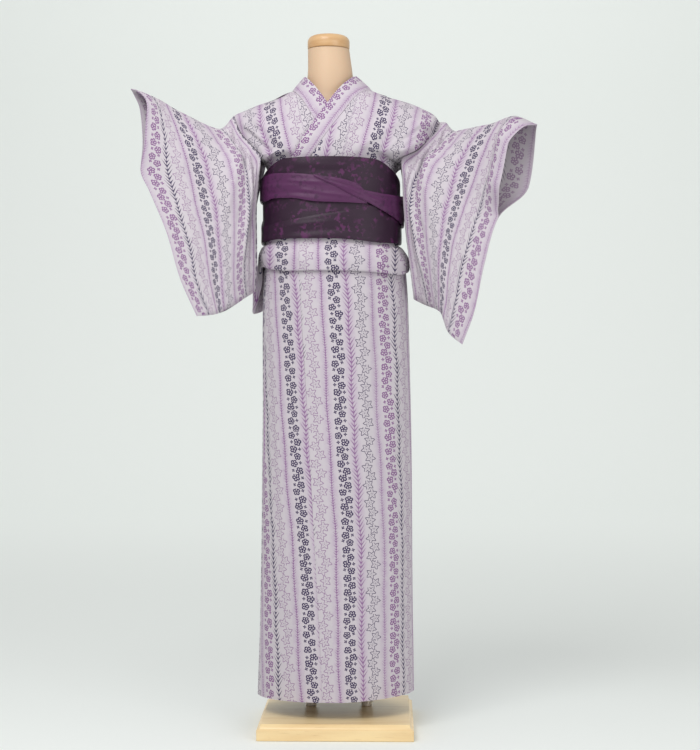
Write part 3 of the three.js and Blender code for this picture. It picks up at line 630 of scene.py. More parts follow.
def skirt_grid(start, end, cols, levels=120):
    """A panel's points, how far across it each lies, and its height. start, end: its edges' angles."""
    up = np.linspace(0, 1, levels)[:, None] ** 1.15
    s = np.linspace(0, 1, cols)[None, :]
    margin = 0.06
    turn = lerp(start(up) - margin, end(up) + margin, s)
    z = lerp(hem_z(turn), SKIRT_TOP_Z, up)
    inset = UNDER_WRAP * smooth(clamp((turn + 105) / 50))
    grid = on_section(skirt_at(z), turn, z, -CLOTH / 2 - inset)
    step = np.linalg.norm(np.diff(grid, axis=1), axis=-1)
    across = np.concatenate([np.zeros((levels, 1)), np.cumsum(step, axis=1)], axis=1)
    return grid, across, z


def skirt_panel(name, start, end, place, cols, lines=()):
    """place: from distance across in mm, the panel's width and the height, to the printed column."""
    grid, across, z = skirt_grid(start, end, cols)
    width = across[:, -1:]
    relief = ripple(across, z * 0.22, len(name) * 7 + cols, 130, 1.1) * clamp((z - 60) / 120)
    relief = relief + creases(across, z, lines)
    relief = relief + seam_dip(across) + seam_dip(width - across)
    relief = relief + seam_dip(z - HEM_Z - HEM_STITCH, 0.55, 2.2)
    relief = clamp(relief, -2.6, 2.6) * (0.4 if name in HIDDEN_LAYERS else 1)
    cloth = np.stack([place(across, width, z), z / PITCH], axis=-1)
    obj = shell(name + "_cloth", grid, cloth, CLOTH, BOTH_FACES, relief=relief)
    finish_cloth(obj, name)


def steady(value):
    """An upright edge."""
    return lambda up: np.full(np.shape(up), float(value))


def front_place(a, w, z):
    """The wearer's left front: its columns close up a little towards the hem."""
    close = lerp(1.06, 1.0, clamp((z - 120) / 400))
    return 2 + ((w - a) * close - lerp(15, 19, clamp((z - 217) / 330))) / PITCH


def okumi_place(a, w, z):
    """The wearer's left overlap: its seam cuts across the columns."""
    return 4 - (a - lerp(20, 31, (z - 217) / 430)) / PITCH


def make_skirt():
    skirt_panel("skirt_okumi_right", steady(98), steady(42), lambda a, w, z: 4 - a / PITCH, 30)
    skirt_panel("skirt_front_right", steady(42), steady(-50), lambda a, w, z: 2 + (w - a) / PITCH,
                44)
    skirt_panel("skirt_back_right", steady(-50), steady(-180), lambda a, w, z: 3.5 + (w - a) / PITCH,
                60, SKIRT_BACK_LINES)
    skirt_panel("skirt_back_left", steady(-180), steady(-272), lambda a, w, z: 3.5 - a / PITCH,
                44, SKIRT_BACK_LINES)
    skirt_panel("skirt_front_left", steady(-272), okumi_seam, front_place,
                56, SKIRT_FRONT_LINES)
    skirt_panel("skirt_okumi_left", okumi_seam, shown_edge, okumi_place,
                40, SKIRT_OKUMI_LINES)


# Start and end as (mm across the panel, height), half-width, height of the crease.
SKIRT_FRONT_LINES = (
    ((60, 1020), (95, 500), 14, 1.6),
    ((120, 1015), (130, 620), 11, -1.5),
    ((165, 1010), (150, 380), 16, 1.3),
    ((30, 900), (45, 120), 15, -1.4),
    ((205, 980), (190, 300), 12, -1.0),
    ((100, 420), (80, 60), 16, 1.6),
    ((160, 380), (170, 60), 13, -1.4),
)
SKIRT_OKUMI_LINES = (
    ((30, 1010), (40, 560), 10, -1.3),
    ((75, 1000), (70, 260), 13, 1.5),
    ((110, 900), (120, 80), 9, -1.2),
    ((45, 420), (30, 60), 12, 1.2),
)
SKIRT_BACK_LINES = (
    ((40, 1010), (60, 420), 14, 1.5),
    ((110, 1015), (95, 300), 14, -1.6),
    ((170, 1000), (190, 120), 16, 1.5),
    ((230, 960), (215, 200), 12, -1.3),
)


# ---------- collar ----------
collar_at = curves([{k: row[k] for k in ("at", "ix", "iz", "ox", "oz")} for row in COLLAR], "at")


def collar_row(row):
    under = {"iy": torso_depth(row["ix"], row["iz"], -1), "oy": torso_depth(row["ox"], row["oz"], -1)}
    return {
        "at": row["at"],
        "iy": under["iy"] if row["iy"] is None else row["iy"],
        "oy": under["oy"] if row["oy"] is None else row["oy"],
        "lift": OVER_WRAP if row["side"] == 2 else 0,
        "neck": 1 if row["side"] == 1 else 0,
    }


collar_depth = curves([collar_row(row) for row in COLLAR], "at")


def collar_point(along, across):
    row = collar_at(along)
    depth = collar_depth(along)
    x = lerp(row["ix"], row["ox"], across)
    z = lerp(row["iz"], row["oz"], across)
    y = lerp(torso_depth(x, z, -1), lerp(depth["iy"], depth["oy"], across), depth["neck"]) - depth["lift"]
    return stack(x, y, z)


def make_collar():
    along = np.linspace(0, 1, 230)[:, None]
    across = np.linspace(0, 1, 16)[None, :]
    grid = collar_point(along, across)
    run = distance_along(grid[:, 8])
    # Flowers run along the folded half and fuzzy stems along the sewn half.
    column = lerp(0.1, -1.35, across) + 0 * along
    cloth = np.stack([column, run / PITCH + 0 * across], axis=-1)
    crown = 0.8 * np.sin(math.pi * across) ** 0.6
    relief = crown + ripple(run, across * 50, 11, 70, 0.5) + seam_dip((1 - across) * 50, 0.5, 3)
    obj = shell("collar_cloth", grid, cloth, COLLAR_WALL, [LOOK["print"]], relief=relief)
    finish_cloth(obj, "collar")


# ---------- sleeves ----------
def fold_rounding(down):
    """The share of its full gap that a sleeve has at a level: it closes to a round edge at both folds."""
    near = np.minimum(down, 1 - down) / FOLD_ROLL
    return np.where(near >= 1, 1, np.sqrt(np.maximum(1 - (1 - np.minimum(near, 1)) ** 2, 0)))


def sleeve_points(sleeve, across, down, face):
    """Points of the front or back layer at one level."""
    columns = [{"across": a, **{k: curve(table, "down", k)(down) for k in ("x", "y", "z", "gap")}}
               for a, table in sleeve["ribs"]]
    read = {k: curve(columns, "across", k)(across) for k in ("x", "y", "z", "gap")}
    rounding = float(fold_rounding(down))
    if face == FRONT:
        near_mouth = smooth(clamp((across - 1 + MOUTH_REACH) / MOUTH_REACH))
        shift = curve(sleeve["mouth"], "down", "inset")(down) * near_mouth * math.sqrt(rounding)
    else:
        shift = -BACK_SPREAD * (1 - across) ** 2 * smooth(clamp((down - 0.4) / 0.3))
    x = read["x"] + sleeve["inward"] * shift
    return stack(x, read["y"] + face * read["gap"] * rounding / 2, read["z"])


def loop_downs(count=62):
    """Levels down one layer, close together at the two folds."""
    t = np.linspace(0, 1, count)
    return (0.5 - 0.5 * np.cos(math.pi * t)) * 0.6 + t * 0.4


def sleeve_grid(sleeve, cols=84):
    across = np.linspace(0, 1, cols)
    downs = loop_downs()
    layers = [(d, BACK) for d in downs[::-1]] + [(d, FRONT) for d in downs[1:]]
    grid = np.stack([sleeve_points(sleeve, across, d, face) for d, face in layers], axis=1)
    grid[:, 0] = grid[:, -1]
    v = np.array([-face * d * SLEEVE_DROP for d, face in layers])[None, :]
    u = ((1 - across) * SLEEVE_WIDTH)[:, None]
    return grid, u + 0 * v, v + 0 * u


def make_sleeve(name, sleeve, lines, place):
    grid, u, v = sleeve_grid(sleeve)
    fade = clamp(u / 25) * clamp((SLEEVE_WIDTH - u) / 12)
    relief = (creases(u, v, lines) * CREASE_GAIN + ripple(u, v, len(name), 110, 1.6)) * (0.35 + 0.65 * fade)
    relief = relief + seam_dip(SLEEVE_WIDTH - u, 1.0, 4) + seam_dip(u - 9, 0.45, 2)
    relief = clamp(relief, -7, 7)
    cloth = np.stack([place(u), -v / PITCH], axis=-1)
    obj = shell(name + "_cloth", grid, cloth, CLOTH, BOTH_FACES, closed=True, face_out=sleeve["inward"],
                relief=relief)
    finish_cloth(obj, name)


# Start and end as (mm from the cuff, mm down from the shoulder fold; the back layer is below 0).
SLEEVE_RIGHT_LINES = (
    ((315, 25), (215, 330), 13, -4.0),
    ((290, 20), (165, 300), 12, 3.4),
    ((250, 15), (120, 250), 15, -2.6),
    ((300, 60), (250, 430), 12, 3.2),
    ((200, 20), (70, 170), 16, 2.2),
    ((150, 330), (120, 488), 16, -2.2),
    ((70, 200), (60, 470), 18, 1.8),
    ((330, 150), (300, 470), 9, -2.8),
    ((318, 12), (232, 120), 6, -3.4),
    ((312, 60), (255, 210), 6, 3.0),
    ((322, 100), (285, 300), 6, -3.0),
    ((300, 8), (190, 95), 7, 2.4),
    ((315, -25), (215, -330), 13, -4.0),
    ((280, -20), (160, -310), 13, 3.4),
    ((240, -30), (110, -260), 15, -2.6),
    ((120, -200), (90, -470), 16, 2.0),
)
SLEEVE_LEFT_LINES = (
    ((318, 20), (225, 350), 12, -4.0),
    ((285, 15), (180, 320), 13, 3.4),
    ((245, 25), (140, 260), 14, -2.8),
    ((300, 90), (262, 440), 11, 3.0),
    ((180, 15), (60, 200), 15, 2.4),
    ((130, 300), (100, 488), 14, -2.4),
    ((60, 230), (45, 480), 16, 1.8),
    ((330, 140), (310, 460), 9, -2.6),
    ((320, 10), (240, 110), 6, -3.4),
    ((316, 70), (262, 230), 6, 3.0),
    ((322, 110), (288, 320), 6, -3.0),
    ((298, 10), (200, 90), 7, 2.4),
    ((315, -25), (215, -330), 13, -4.0),
    ((280, -20), (160, -310), 13, 3.4),
    ((120, -200), (90, -470), 16, 2.0),
)


# ---------- upper body ----------
def along_collar(inner, t, face):
    """Where along the collar the body's inner edge is sewn to it, at a level of the body."""
    if face == FRONT:
        return lerp(inner["shoulder"], inner["chest"], min(max(t / CHEST_T, 0), 1))
    return lerp(inner["shoulder"], NAPE, min(max(t / NAPE_T, 0), 1))


def body_start(inner, side, t, face):
    along = along_collar(inner, t, face)
    sewn = collar_point(along, 1.0)
    away = sewn - collar_point(along, 0.0)
    start = sewn + away / np.linalg.norm(away) * NECK_GAP
    if face == FRONT and t > CHEST_T:
        u = (t - CHEST_T) / (1 - CHEST_T)
        start[0] = lerp(start[0], inner["endX"], u)
        start[2] = lerp(start[2], inner["endZ"], u)
    if face == BACK:
        if t > NAPE_T:
            start[2] = lerp(start[2], inner["endZ"], (t - NAPE_T) / (1 - NAPE_T))
        start[0] = side * max(side * (start[0] - BACK_CENTRE_X), 0.2) + BACK_CENTRE_X
    return start


def body_row(sleeve, inner, outer, over, t, face, s):
    """The points of one level, t from the shoulder fold down, from the inner edge to the armhole or side."""
    side = -sleeve["inward"]
    start = body_start(inner, side, t, face)
    if t <= ARMHOLE_T:
        rim = sleeve_points(sleeve, np.array([0.0, 0.08]), (t / ARMHOLE_T) * ARMHOLE_END, face)
        pull = rim[0] - rim[1]
        edge = rim[0] + pull / np.linalg.norm(pull) * ARMHOLE_GAP
        meet_edge = edge[1] - torso_depth(edge[0], edge[2], face)
    else:
        read = curves(outer, "t")(t)
        edge = np.array([read["x"], 0, read["z"]])
        meet_edge = 0
    at_neck = t <= (CHEST_T if face == FRONT else NAPE_T)
    meet_neck = start[1] - torso_depth(start[0], start[2], face) if at_neck else 0
    lift = over if face == FRONT and t > CHEST_T else 0
    even = lerp(s, np.sin(s * math.pi / 2), 0.6 * min(max((t - 0.4) / 0.3, 0), 1))
    x = lerp(start[0], edge[0], even)
    neck_z = body_start(inner, side, 0, FRONT)[2]
    crown = shoulder_z(x) - lerp(neck_z, sleeve["ribs"][0][1][0]["z"], even)
    z = lerp(start[2], edge[2], even) + crown * s * (1 - s) * 4 * (1 - min(max(t / 0.35, 0), 1)) ** 2
    y = torso_depth(x, z, face) + (meet_neck - lift) * (1 - s ** 3) + meet_edge * s ** 5
    return stack(x, y, z)


def make_body(name, sleeve, inner, outer, over, place, lines, levels=64, cols=56):
    s = np.linspace(0, 1, cols)
    ts = np.linspace(0, 1, levels) ** 1.25
    front = [body_row(sleeve, inner, outer, over, t, FRONT, s) for t in ts[:0:-1]]
    shoulder = [body_row(sleeve, inner, outer, over, 0, FRONT, s)]
    back = [body_row(sleeve, inner, outer, over, t, BACK, s) for t in ts[1:]]
    grid = np.stack(front + shoulder + back)
    # The rows next to the shoulder fold are eased into each other twice.
    for _ in range(2):
        grid[levels - 4:levels + 3] = (grid[levels - 5:levels + 2] + 2 * grid[levels - 4:levels + 3]
                                       + grid[levels - 3:levels + 4]) / 4
    down = np.concatenate([ts[:0:-1], [0], ts[1:]])[:, None]
    run = distance_along(grid[:, cols // 2])
    run = run - run[levels - 1]
    p = np.abs(grid[..., 0] - BACK_CENTRE_X)
    q = grid[..., 2] * np.where(run < 0, 1, -1)
    relief = creases(p, q, lines) * CREASE_GAIN + ripple(p, q, len(name) + 3, 80, 1.2)
    arm = np.linalg.norm(grid - grid[:, -1:], axis=-1)
    relief = clamp(relief, -4.5, 4.5) * clamp(arm / 20) + seam_dip(arm, 1.1, 4) * (down < ARMHOLE_T + 0.02)
    relief = relief * clamp((np.abs(q) - BELT_HIDES) / 30)
    cloth = np.stack([place(grid, run), run / PITCH + 0 * p], axis=-1)
    obj = shell(name + "_cloth", grid, cloth, CLOTH, BOTH_FACES, face_out=sleeve["inward"], relief=relief)
    finish_cloth(obj, name)


# Start and end as (mm from the centre back line, height; the back is below 0).
BODY_RIGHT_LINES = (
    ((60, 1225), (175, 1330), 9, 2.6),
    ((95, 1222), (190, 1300), 8, -2.6),
    ((120, 1215), (205, 1290), 8, 2.4),
    ((40, 1240), (120, 1370), 11, -1.8),
    ((150, 1230), (215, 1320), 7, -2.0),
    ((105, 1232), (196, 1318), 5, 2.6),
    ((132, 1226), (212, 1304), 5, -2.8),
    ((60, -1215), (170, -1310), 11, 2.4),
    ((100, -1210), (195, -1300), 10, -2.4),
)
BODY_LEFT_LINES = (
    ((40, 1232), (170, 1320), 9, 2.4),
    ((85, 1225), (205, 1300), 8, -2.6),
    ((120, 1222), (225, 1290), 8, 2.6),
    ((30, 1262), (150, 1352), 11, -1.8),
    ((150, 1228), (235, 1305), 7, -2.2),
    ((100, 1230), (214, 1316), 5, 2.6),
    ((128, 1226), (228, 1300), 5, -2.8),
    ((60, -1215), (170, -1310), 11, 2.4),
    ((100, -1210), (195, -1300), 10, -2.4),
)


def front_columns(out, z, start):
    """Columns of the front, from the collar outwards. They lean in towards the belt, and start again past
    the seam of the narrow front panel."""
    column = 4 + (out - start - (z - 1238) / 120) / 0.9
    return np.where(column < 1.5, column + 5, column)


def right_place(grid, run):
    out = (BACK_CENTRE_X - grid[..., 0]) / PITCH
    return np.where(run < 0, front_columns(out, grid[..., 2], 3.85), out - 0.8)


def left_place(grid, run):
    out = (grid[..., 0] - BACK_CENTRE_X) / PITCH
    return np.where(run < 0, front_columns(out, grid[..., 2], 3.41), out - 0.3)


# ---------- tucked fold ----------
def make_fold(name, start, end, cols, place):
    """The tucked fold: down its outer layer, round its lower edge and up again inside."""
    edge_at = curve(FOLD_EDGE, "angle", "z")
    out_at = curve(FOLD_OUT, "down", "out")
    angle = np.linspace(start + 0.05, end - 0.05, cols)
    low = edge_at(angle)
    slack = clamp((960 - low) / 60) * FLAP_OUT

    def line(down, out):
        z = lerp(FOLD_TOP_Z, low, down)
        return on_section(skirt_at(z), angle, z, out + slack * down)

    downs = np.linspace(0, 0.93, 26)
    rings = [line(d, out_at(d)) for d in downs]
    for turn in np.linspace(0, math.pi, 9)[1:-1]:
        under = (1 - math.cos(turn)) / 2
        rings.append(line(0.95 + 0.05 * math.sin(turn), lerp(float(out_at(0.93)), FOLD_INNER, under)))
    rings += [line(d, FOLD_INNER) for d in (0.9, 0.75, 0.6, 0.4)]
    grid = np.stack(rings)
    p = np.radians(angle)[None, :] * FOLD_RADIUS + 0 * grid[..., 0]
    q = grid[..., 2]
    outer = np.arange(len(rings))[:, None] < len(downs)
    lines = [((a, 1050), (a + lean, 990), w, h) for a, lean, w, h in FOLD_LINES]
    relief = clamp(creases(p, q, lines) + ripple(p, q * 2, 5, 80, 0.8), -1.6, 2.5) * outer
    run = distance_along(grid[:, cols // 2])
    cloth = np.stack([place(p, grid[..., 0]), -run / PITCH + 0 * p], axis=-1)
    obj = shell(name + "_cloth", grid, cloth, CLOTH, [LOOK["print"]], relief=relief)
    finish_cloth(obj, name)


# Where along the fold a crease starts (mm from the front), how it leans, its half-width and height.
FOLD_LINES = (
    (-190, 14, 10, -1.6), (-150, 8, 9, 1.8), (-96, -10, 11, -1.8), (-60, 6, 8, 1.6), (-22, 10, 9, -1.4),
    (30, -8, 12, 1.5), (70, 6, 8, -1.8), (112, -12, 9, 1.8), (150, -6, 10, -1.5), (205, 8, 12, 1.6),
    (262, -10, 12, -1.6), (330, 8, 14, 1.6), (-262, 10, 12, 1.6), (-330, -8, 13, -1.6), (400, 6, 12, 1.5),
)


def fold_place(p, x):
    right_part = 4 - (x + 115) / PITCH
    return np.where(x < -77, right_part, 2 + (x + 64) / PITCH)


# ---------- belt ----------
def make_belt(name, low, high, start, end, out, look, lines, cols=260, levels=34):
    """A stretch of the belt between two edges, from one angle to another, out from the body."""
    angle = np.linspace(start, end, cols)[:, None]
    up = np.linspace(0, 1, levels)[None, :]
    z = lerp(low(angle), high(angle), up)
    p = np.radians(angle) * BELT_RADIUS + 0 * z
    from_edge = (high(angle) - low(angle)) * np.minimum(up, 1 - up)
    relief = creases(p, z, lines) + ripple(p, z * 1.6, len(name), 85, 0.5)
    relief = clamp(relief, -1.4, 1.6) * clamp(from_edge / 6) - 0.9 * np.exp(-((from_edge / 2.5) ** 2))
    cloth = np.stack([p * MM, z * MM], axis=-1)
    grid = on_section(belt_at(z), angle, z, out)
    obj = shell(name + "_cloth", grid, cloth, BELT, [LOOK[look]], relief=relief)
    finish_cloth(obj, name)


# Start and end as (mm round the belt from the front, height), half-width, height of the crease.
INNER_LINES = (
    ((-120, 1216), (60, 1206), 5, 0.9), ((-40, 1200), (150, 1196), 5, -0.9),
    ((-160, 1196), (-60, 1204), 4, 0.9), ((40, 1190), (160, 1176), 6, 0.9),
)
OUTER_LINES = (
    ((-150, 1078), (20, 1092), 5, 1.0), ((-100, 1066), (120, 1080), 6, -0.9),
    ((20, 1100), (160, 1098), 6, 1.0), ((60, 1120), (170, 1112), 5, -0.8),
)
BAND_RIGHT_LINES = (
    ((-200, 1170), (-40, 1168), 5, 1.4), ((-150, 1155), (10, 1150), 5, -1.3),
    ((-90, 1180), (0, 1172), 4, 1.2), ((-60, 1160), (50, 1140), 4, 1.2),
)
BAND_LEFT_LINES = (
    ((10, 1170), (120, 1120), 4, 1.4), ((40, 1152), (200, 1128), 5, -1.4), ((90, 1122), (220, 1104), 6, 1.3),
    ((60, 1136), (220, 1142), 4, 1.2),
)


def bow_points(side, s, turn):
    """A loop of the bow: s runs out from the knot, and turn runs round the loop."""
    x = BACK_CENTRE_X + side * lerp(BOW["start"], BOW["width"], s)
    middle = BOW["top"] - BOW["drop"] / 2 + BOW["rise"] * np.sin(math.pi * s) - 10 * s
    high = lerp(24, BOW["drop"] / 2, smooth(clamp(s * 1.6)))
    deep = lerp(5, BOW["thick"] / 2, smooth(s))
    height = KNOT["z"]
    back = on_section(belt_at(np.array(float(height))), 180 - side * 40 * s, height, 0)[..., 1] + 18
    # Gathers run out from the knot and fade along the loop.
    gather = 1.5 * (1 - s) ** 1.3 * np.sin(turn * 7 + 1.3)
    y = back + (deep + gather) * np.cos(turn)
    return stack(x + 0 * turn, y, middle + (high + gather) * np.sin(turn))


# Start and end as (how far out along the loop, degrees round it), half-width, height of the crease.
BOW_LINES = (
    ((5, 60), (80, 75), 12, 1.2), ((5, 110), (70, 100), 12, -1.2), ((5, 250), (80, 262), 14, 1.2),
    ((10, 300), (75, 290), 12, -1.0),
)


def make_bow(name, side):
    s = np.linspace(0, 1, 60)[:, None]
    turn = np.linspace(0, 2 * math.pi, 121)[None, :]
    p = s * 100 + 0 * turn
    q = np.degrees(turn) + 0 * s
    cloth = np.stack([p / 1000, q / 1400], axis=-1)
    obj = shell(name + "_cloth", bow_points(side, s, turn), cloth, BELT, [LOOK["satin"]], closed=True,
                face_out=-side, relief=creases(p, q, BOW_LINES))
    finish_cloth(obj, name)


def make_knot():
    """The knot is the end of the belt folded round itself: a soft block with folds that run up and down."""
    levels = np.linspace(-1, 1, 56)[:, None]
    turn = np.linspace(0, 2 * math.pi, 97)[None, :]
    size = lerp(0.55, 1, (1 - np.abs(levels) ** 3.2) ** (1 / 3.2))
    s, c = np.sin(turn), np.cos(turn)
    size = size * (1 - 0.045 * np.cos(turn * 9 + levels * 1.1) * (1 - 0.4 * levels ** 2))
    x = BACK_CENTRE_X + KNOT["w"] * size * np.sign(s) * np.abs(s) ** 0.75
    y = KNOT["y"] + KNOT["d"] * size * np.sign(c) * np.abs(c) ** 0.75
    grid = stack(x, y, KNOT["z"] + KNOT["h"] * levels)
    # The first and last rings shrink to close the ends.
    for row in (0, -1):
        centre = grid[row].mean(axis=0)
        grid[row] = centre + (grid[row] - centre) * 0.05
    cloth = np.stack([turn / 25 + 0 * levels, levels * 0.03 + 0 * turn], axis=-1)
    obj = shell("obi_knot_cloth", grid, cloth, 1.0, [LOOK["satin"]], closed=True)
    stand_for(obj, "obi_knot")


# ---------- materials ----------
class Value:
    """A socket that can be used in sums, so that a pattern reads as a formula."""

    def __init__(self, tree, socket):
        self.tree = tree
        self.socket = socket

    def put(self, op, *others):
        node = self.tree.nodes.new("ShaderNodeMath")
        node.operation = op
        for i, item in enumerate((self, *others)):
            if isinstance(item, Value):
                self.tree.links.new(item.socket, node.inputs[i])
            else:
                node.inputs[i].default_value = item
        return Value(self.tree, node.outputs[0])

    def __add__(self, other):
        return self.put("ADD", other)

    def __sub__(self, other):
        return self.put("SUBTRACT", other)

    def __mul__(self, other):
        return self.put("MULTIPLY", other)

    def __rsub__(self, other):
        return (self * -1).put("ADD", other)

    def __lt__(self, other):
        return self.put("LESS_THAN", other)

    def __gt__(self, other):
        return self.put("GREATER_THAN", other)

    __radd__ = __add__
    __rmul__ = __mul__

    def limit(self):
        return self.put("MAXIMUM", 0.0).put("MINIMUM", 1.0)

    def fall(self, edge, soft):
        """1 below edge, 0 above edge + soft, and even between."""
        node = self.tree.nodes.new("ShaderNodeMapRange")
        self.tree.links.new(self.socket, node.inputs["Value"])
        node.inputs["From Min"].default_value = edge
        node.inputs["From Max"].default_value = edge + soft
        node.inputs["To Min"].default_value = 1.0
        node.inputs["To Max"].default_value = 0.0
        return Value(self.tree, node.outputs["Result"])


def srgb(r, g, b):
    def linear(v):
        v = v / 255
        return v / 12.92 if v <= 0.04045 else ((v + 0.055) / 1.055) ** 2.4
    return (linear(r), linear(g), linear(b), 1.0)


def settings(node, values):
    for name, value in values.items():
        node.inputs[name].default_value = value


def blank(name, values):
    material = bpy.data.materials.new(name)
    material.use_nodes = True
    tree = material.node_tree
    shader = tree.nodes["Principled BSDF"]
    settings(shader, values)
    return material, tree, shader


def connect(tree, shader, **sockets):
    """Gives the shader a colour and a roughness that vary over the surface."""
    tree.links.new(sockets["colour"], shader.inputs["Base Color"])
    if "roughness" in sockets:
        tree.links.new(sockets["roughness"].socket, shader.inputs["Roughness"])


def add_bump(tree, shader, height, strength, distance):
    bump = tree.nodes.new("ShaderNodeBump")
    settings(bump, {"Strength": strength, "Distance": distance})
    tree.links.new(height.socket, bump.inputs["Height"])
    tree.links.new(bump.outputs[0], shader.inputs["Normal"])


def mix(tree, fac, low, high):
    node = tree.nodes.new("ShaderNodeMix")
    node.data_type = "RGBA"
    ports = [s for s in node.inputs if s.type == "RGBA"]
    factor = node.inputs["Factor"]
    if isinstance(fac, Value):
        tree.links.new(fac.socket, factor)
    else:
        factor.default_value = fac
    for port, colour in zip(ports, (low, high)):
        if isinstance(colour, tuple):
            port.default_value = srgb(*colour)
        else:
            tree.links.new(colour, port)
    return next(s for s in node.outputs if s.type == "RGBA")


def combine(tree, x, y):
    node = tree.nodes.new("ShaderNodeCombineXYZ")
    tree.links.new(x.socket, node.inputs[0])
    tree.links.new(y.socket, node.inputs[1])
    return node.outputs[0]


def split(tree, socket):
    node = tree.nodes.new("ShaderNodeSeparateXYZ")
    tree.links.new(socket, node.inputs[0])
    return Value(tree, node.outputs[0]), Value(tree, node.outputs[1])


def noise(tree, vector, scale, detail=2.0):
    node = tree.nodes.new("ShaderNodeTexNoise")
    settings(node, {"Scale": scale, "Detail": detail})
    tree.links.new(vector, node.inputs["Vector"])
    return Value(tree, node.outputs["Fac"])


def wave(tree, vector, direction, scale, distortion):
    node = tree.nodes.new("ShaderNodeTexWave")
    node.bands_direction = direction
    settings(node, {"Scale": scale, "Distortion": distortion})
    tree.links.new(vector, node.inputs["Vector"])
    return Value(tree, node.outputs["Fac"])


def object_coords(tree, stretch=(1.0, 1.0, 1.0)):
    coords = tree.nodes.new("ShaderNodeTexCoord")
    mapping = tree.nodes.new("ShaderNodeMapping")
    mapping.inputs["Scale"].default_value = stretch
    tree.links.new(coords.outputs["Object"], mapping.inputs["Vector"])
    return mapping.outputs[0]


def either(a, b):
    return a.put("MAXIMUM", b)


def family(u, first):
    """One kind of column, every fourth one from first: the offset from the nearest, its number, and 1 where
    that number is odd."""
    number = ((u - first) * 0.25).put("ROUND")
    return u - first - number * 4.0, number, number.put("PINGPONG", 1.0)


def chance_for(tree, a, b):
    node = tree.nodes.new("ShaderNodeTexWhiteNoise")
    node.noise_dimensions = "2D"
    tree.links.new(combine(tree, a, b), node.inputs["Vector"])
    return Value(tree, node.outputs["Value"])


def staggered(tree, x, v, number, spacing, swing):
    """Motifs up a column, left and right by turns: offsets from the nearest, its side, a random number."""
    step = (v * (1 / spacing) + number * 0.37).put("FLOOR")
    chance = chance_for(tree, number, step)
    side = step.put("PINGPONG", 1.0) * 2.0 - 1.0
    dx = x - side * swing - (chance - 0.5) * 0.14
    dy = v - (step - number * 0.37 + 0.5) * spacing - ((chance * 7.0).put("FRACT") - 0.5) * 0.12
    return dx, dy, side, chance


def polar(dx, dy, chance, petal_count):
    """Distance from the motif's centre, and place across a petal: 0 between two petals, 1 along one."""
    r = (dx * dx + dy * dy).put("SQRT")
    turn = (dy.put("ARCTAN2", dx) * (petal_count / (2 * math.pi)) + chance * 3.0).put("FRACT")
    return r, 1 - (turn * 2.0 - 1.0).put("ABSOLUTE")


def flower(dx, dy, side, chance):
    """A round five-petalled flower with a pale star in it, and a bud on the column's other side."""
    size = chance * 0.05 + 0.3
    r, along = polar(dx, dy, chance, 5.0)
    rim = size * (along.put("POWER", 0.45) * 0.22 + 0.78)
    star = (along > 0.55) * (r > 0.075) * (r < size * 0.66)
    notch = (along < 0.2) * (r > size * 0.72)
    bloom = (r < rim) * (1 - either(star, notch))
    bud_r, bud_along = polar(dx + side * 0.54, dy - 0.06 + (chance - 0.5) * 0.2, chance, 4.0)
    bud = (bud_r < bud_along.put("POWER", 0.6) * 0.1 + 0.045) * (bud_along > 0.2)
    return either(bloom, bud)


def star_outline(dx, dy, chance, size, line):
    """A pointed five-petalled star drawn in line, with short veins and a heart."""
    r, along = polar(dx, dy, chance, 5.0)
    edge = (along.put("POWER", 1.25) * 0.52 + 0.48) * size
    outline = (r - edge).put("ABSOLUTE") < line
    veins = (along > 0.86) * (r < size * 0.42) * (r > size * 0.16)
    return either(either(outline, veins), r < size * 0.09)


def sprig(tree, x, v, number, leaves, slope, reach, width):
    """A stem with slender leaves that point up and out. Each leaf has its own length."""
    across = x.put("ABSOLUTE")
    phase = v * leaves - across * slope + number * 0.3
    which = phase.put("FLOOR") + (x > 0.0) * 51.0
    length = reach * (chance_for(tree, which, number) * 0.7 + 0.5)
    leaf = phase.put("FRACT") < (1 - across.put("DIVIDE", length)) * width
    return either(leaf * (across < length), across < 0.02)


def print_masks(tree, vector):
    """The stripes of the print: how much dark and how much lilac colour lies at a point."""
    u, v = split(tree, vector)
    drift = (v * 0.33).put("SINE") * 0.08
    u = u + drift

    x, number, odd = family(u, 0.0)
    bloom = flower(*staggered(tree, x, v, number, 0.56, 0.2))
    dark = bloom * odd
    lilac = bloom * (1 - odd)

    x, number, odd = family(u, 2.0)
    dx, dy, _, chance = staggered(tree, x, v, number, 0.7, 0.17)
    star = star_outline(dx, dy, chance, 0.44, 0.042)
    dark = either(dark, star * odd * 0.85)
    lilac = either(lilac, star * (1 - odd) * 0.8)

    x, number, odd = family(u, 1.0)
    sway = (v * 1.3 + number).put("SINE") * 0.06
    tuft = (v * 0.42 + number * 0.37).put("FRACT") * 0.16 + 0.34
    fern = sprig(tree, x - sway, v, number, 2.8, 4.4, tuft, 0.52)
    dark = either(dark, fern * (1 - odd) * 0.95)
    lilac = either(lilac, fern * odd * 0.85)
    stain = x.put("ABSOLUTE").fall(0.1, 0.45) * odd

    x, number, odd = family(u, 3.0)
    sway = (v * 0.9 + number).put("SINE") * 0.05
    fuzz = sprig(tree, x - sway, v, number, 5.0, 5.2, odd * 0.02 + 0.22, 0.42)
    lilac = either(lilac, fuzz * (1 - odd * 0.3))
    stain = either(stain, x.put("ABSOLUTE").fall(0.08, 0.42))
    stain = stain * (noise(tree, vector, 1.9, 3.0) * 1.6 - 0.2)
    return dark, lilac, stain.limit()


def cloth_coords(tree):
    node = tree.nodes.new("ShaderNodeUVMap")
    node.uv_map = "cloth"
    return node.outputs[0]


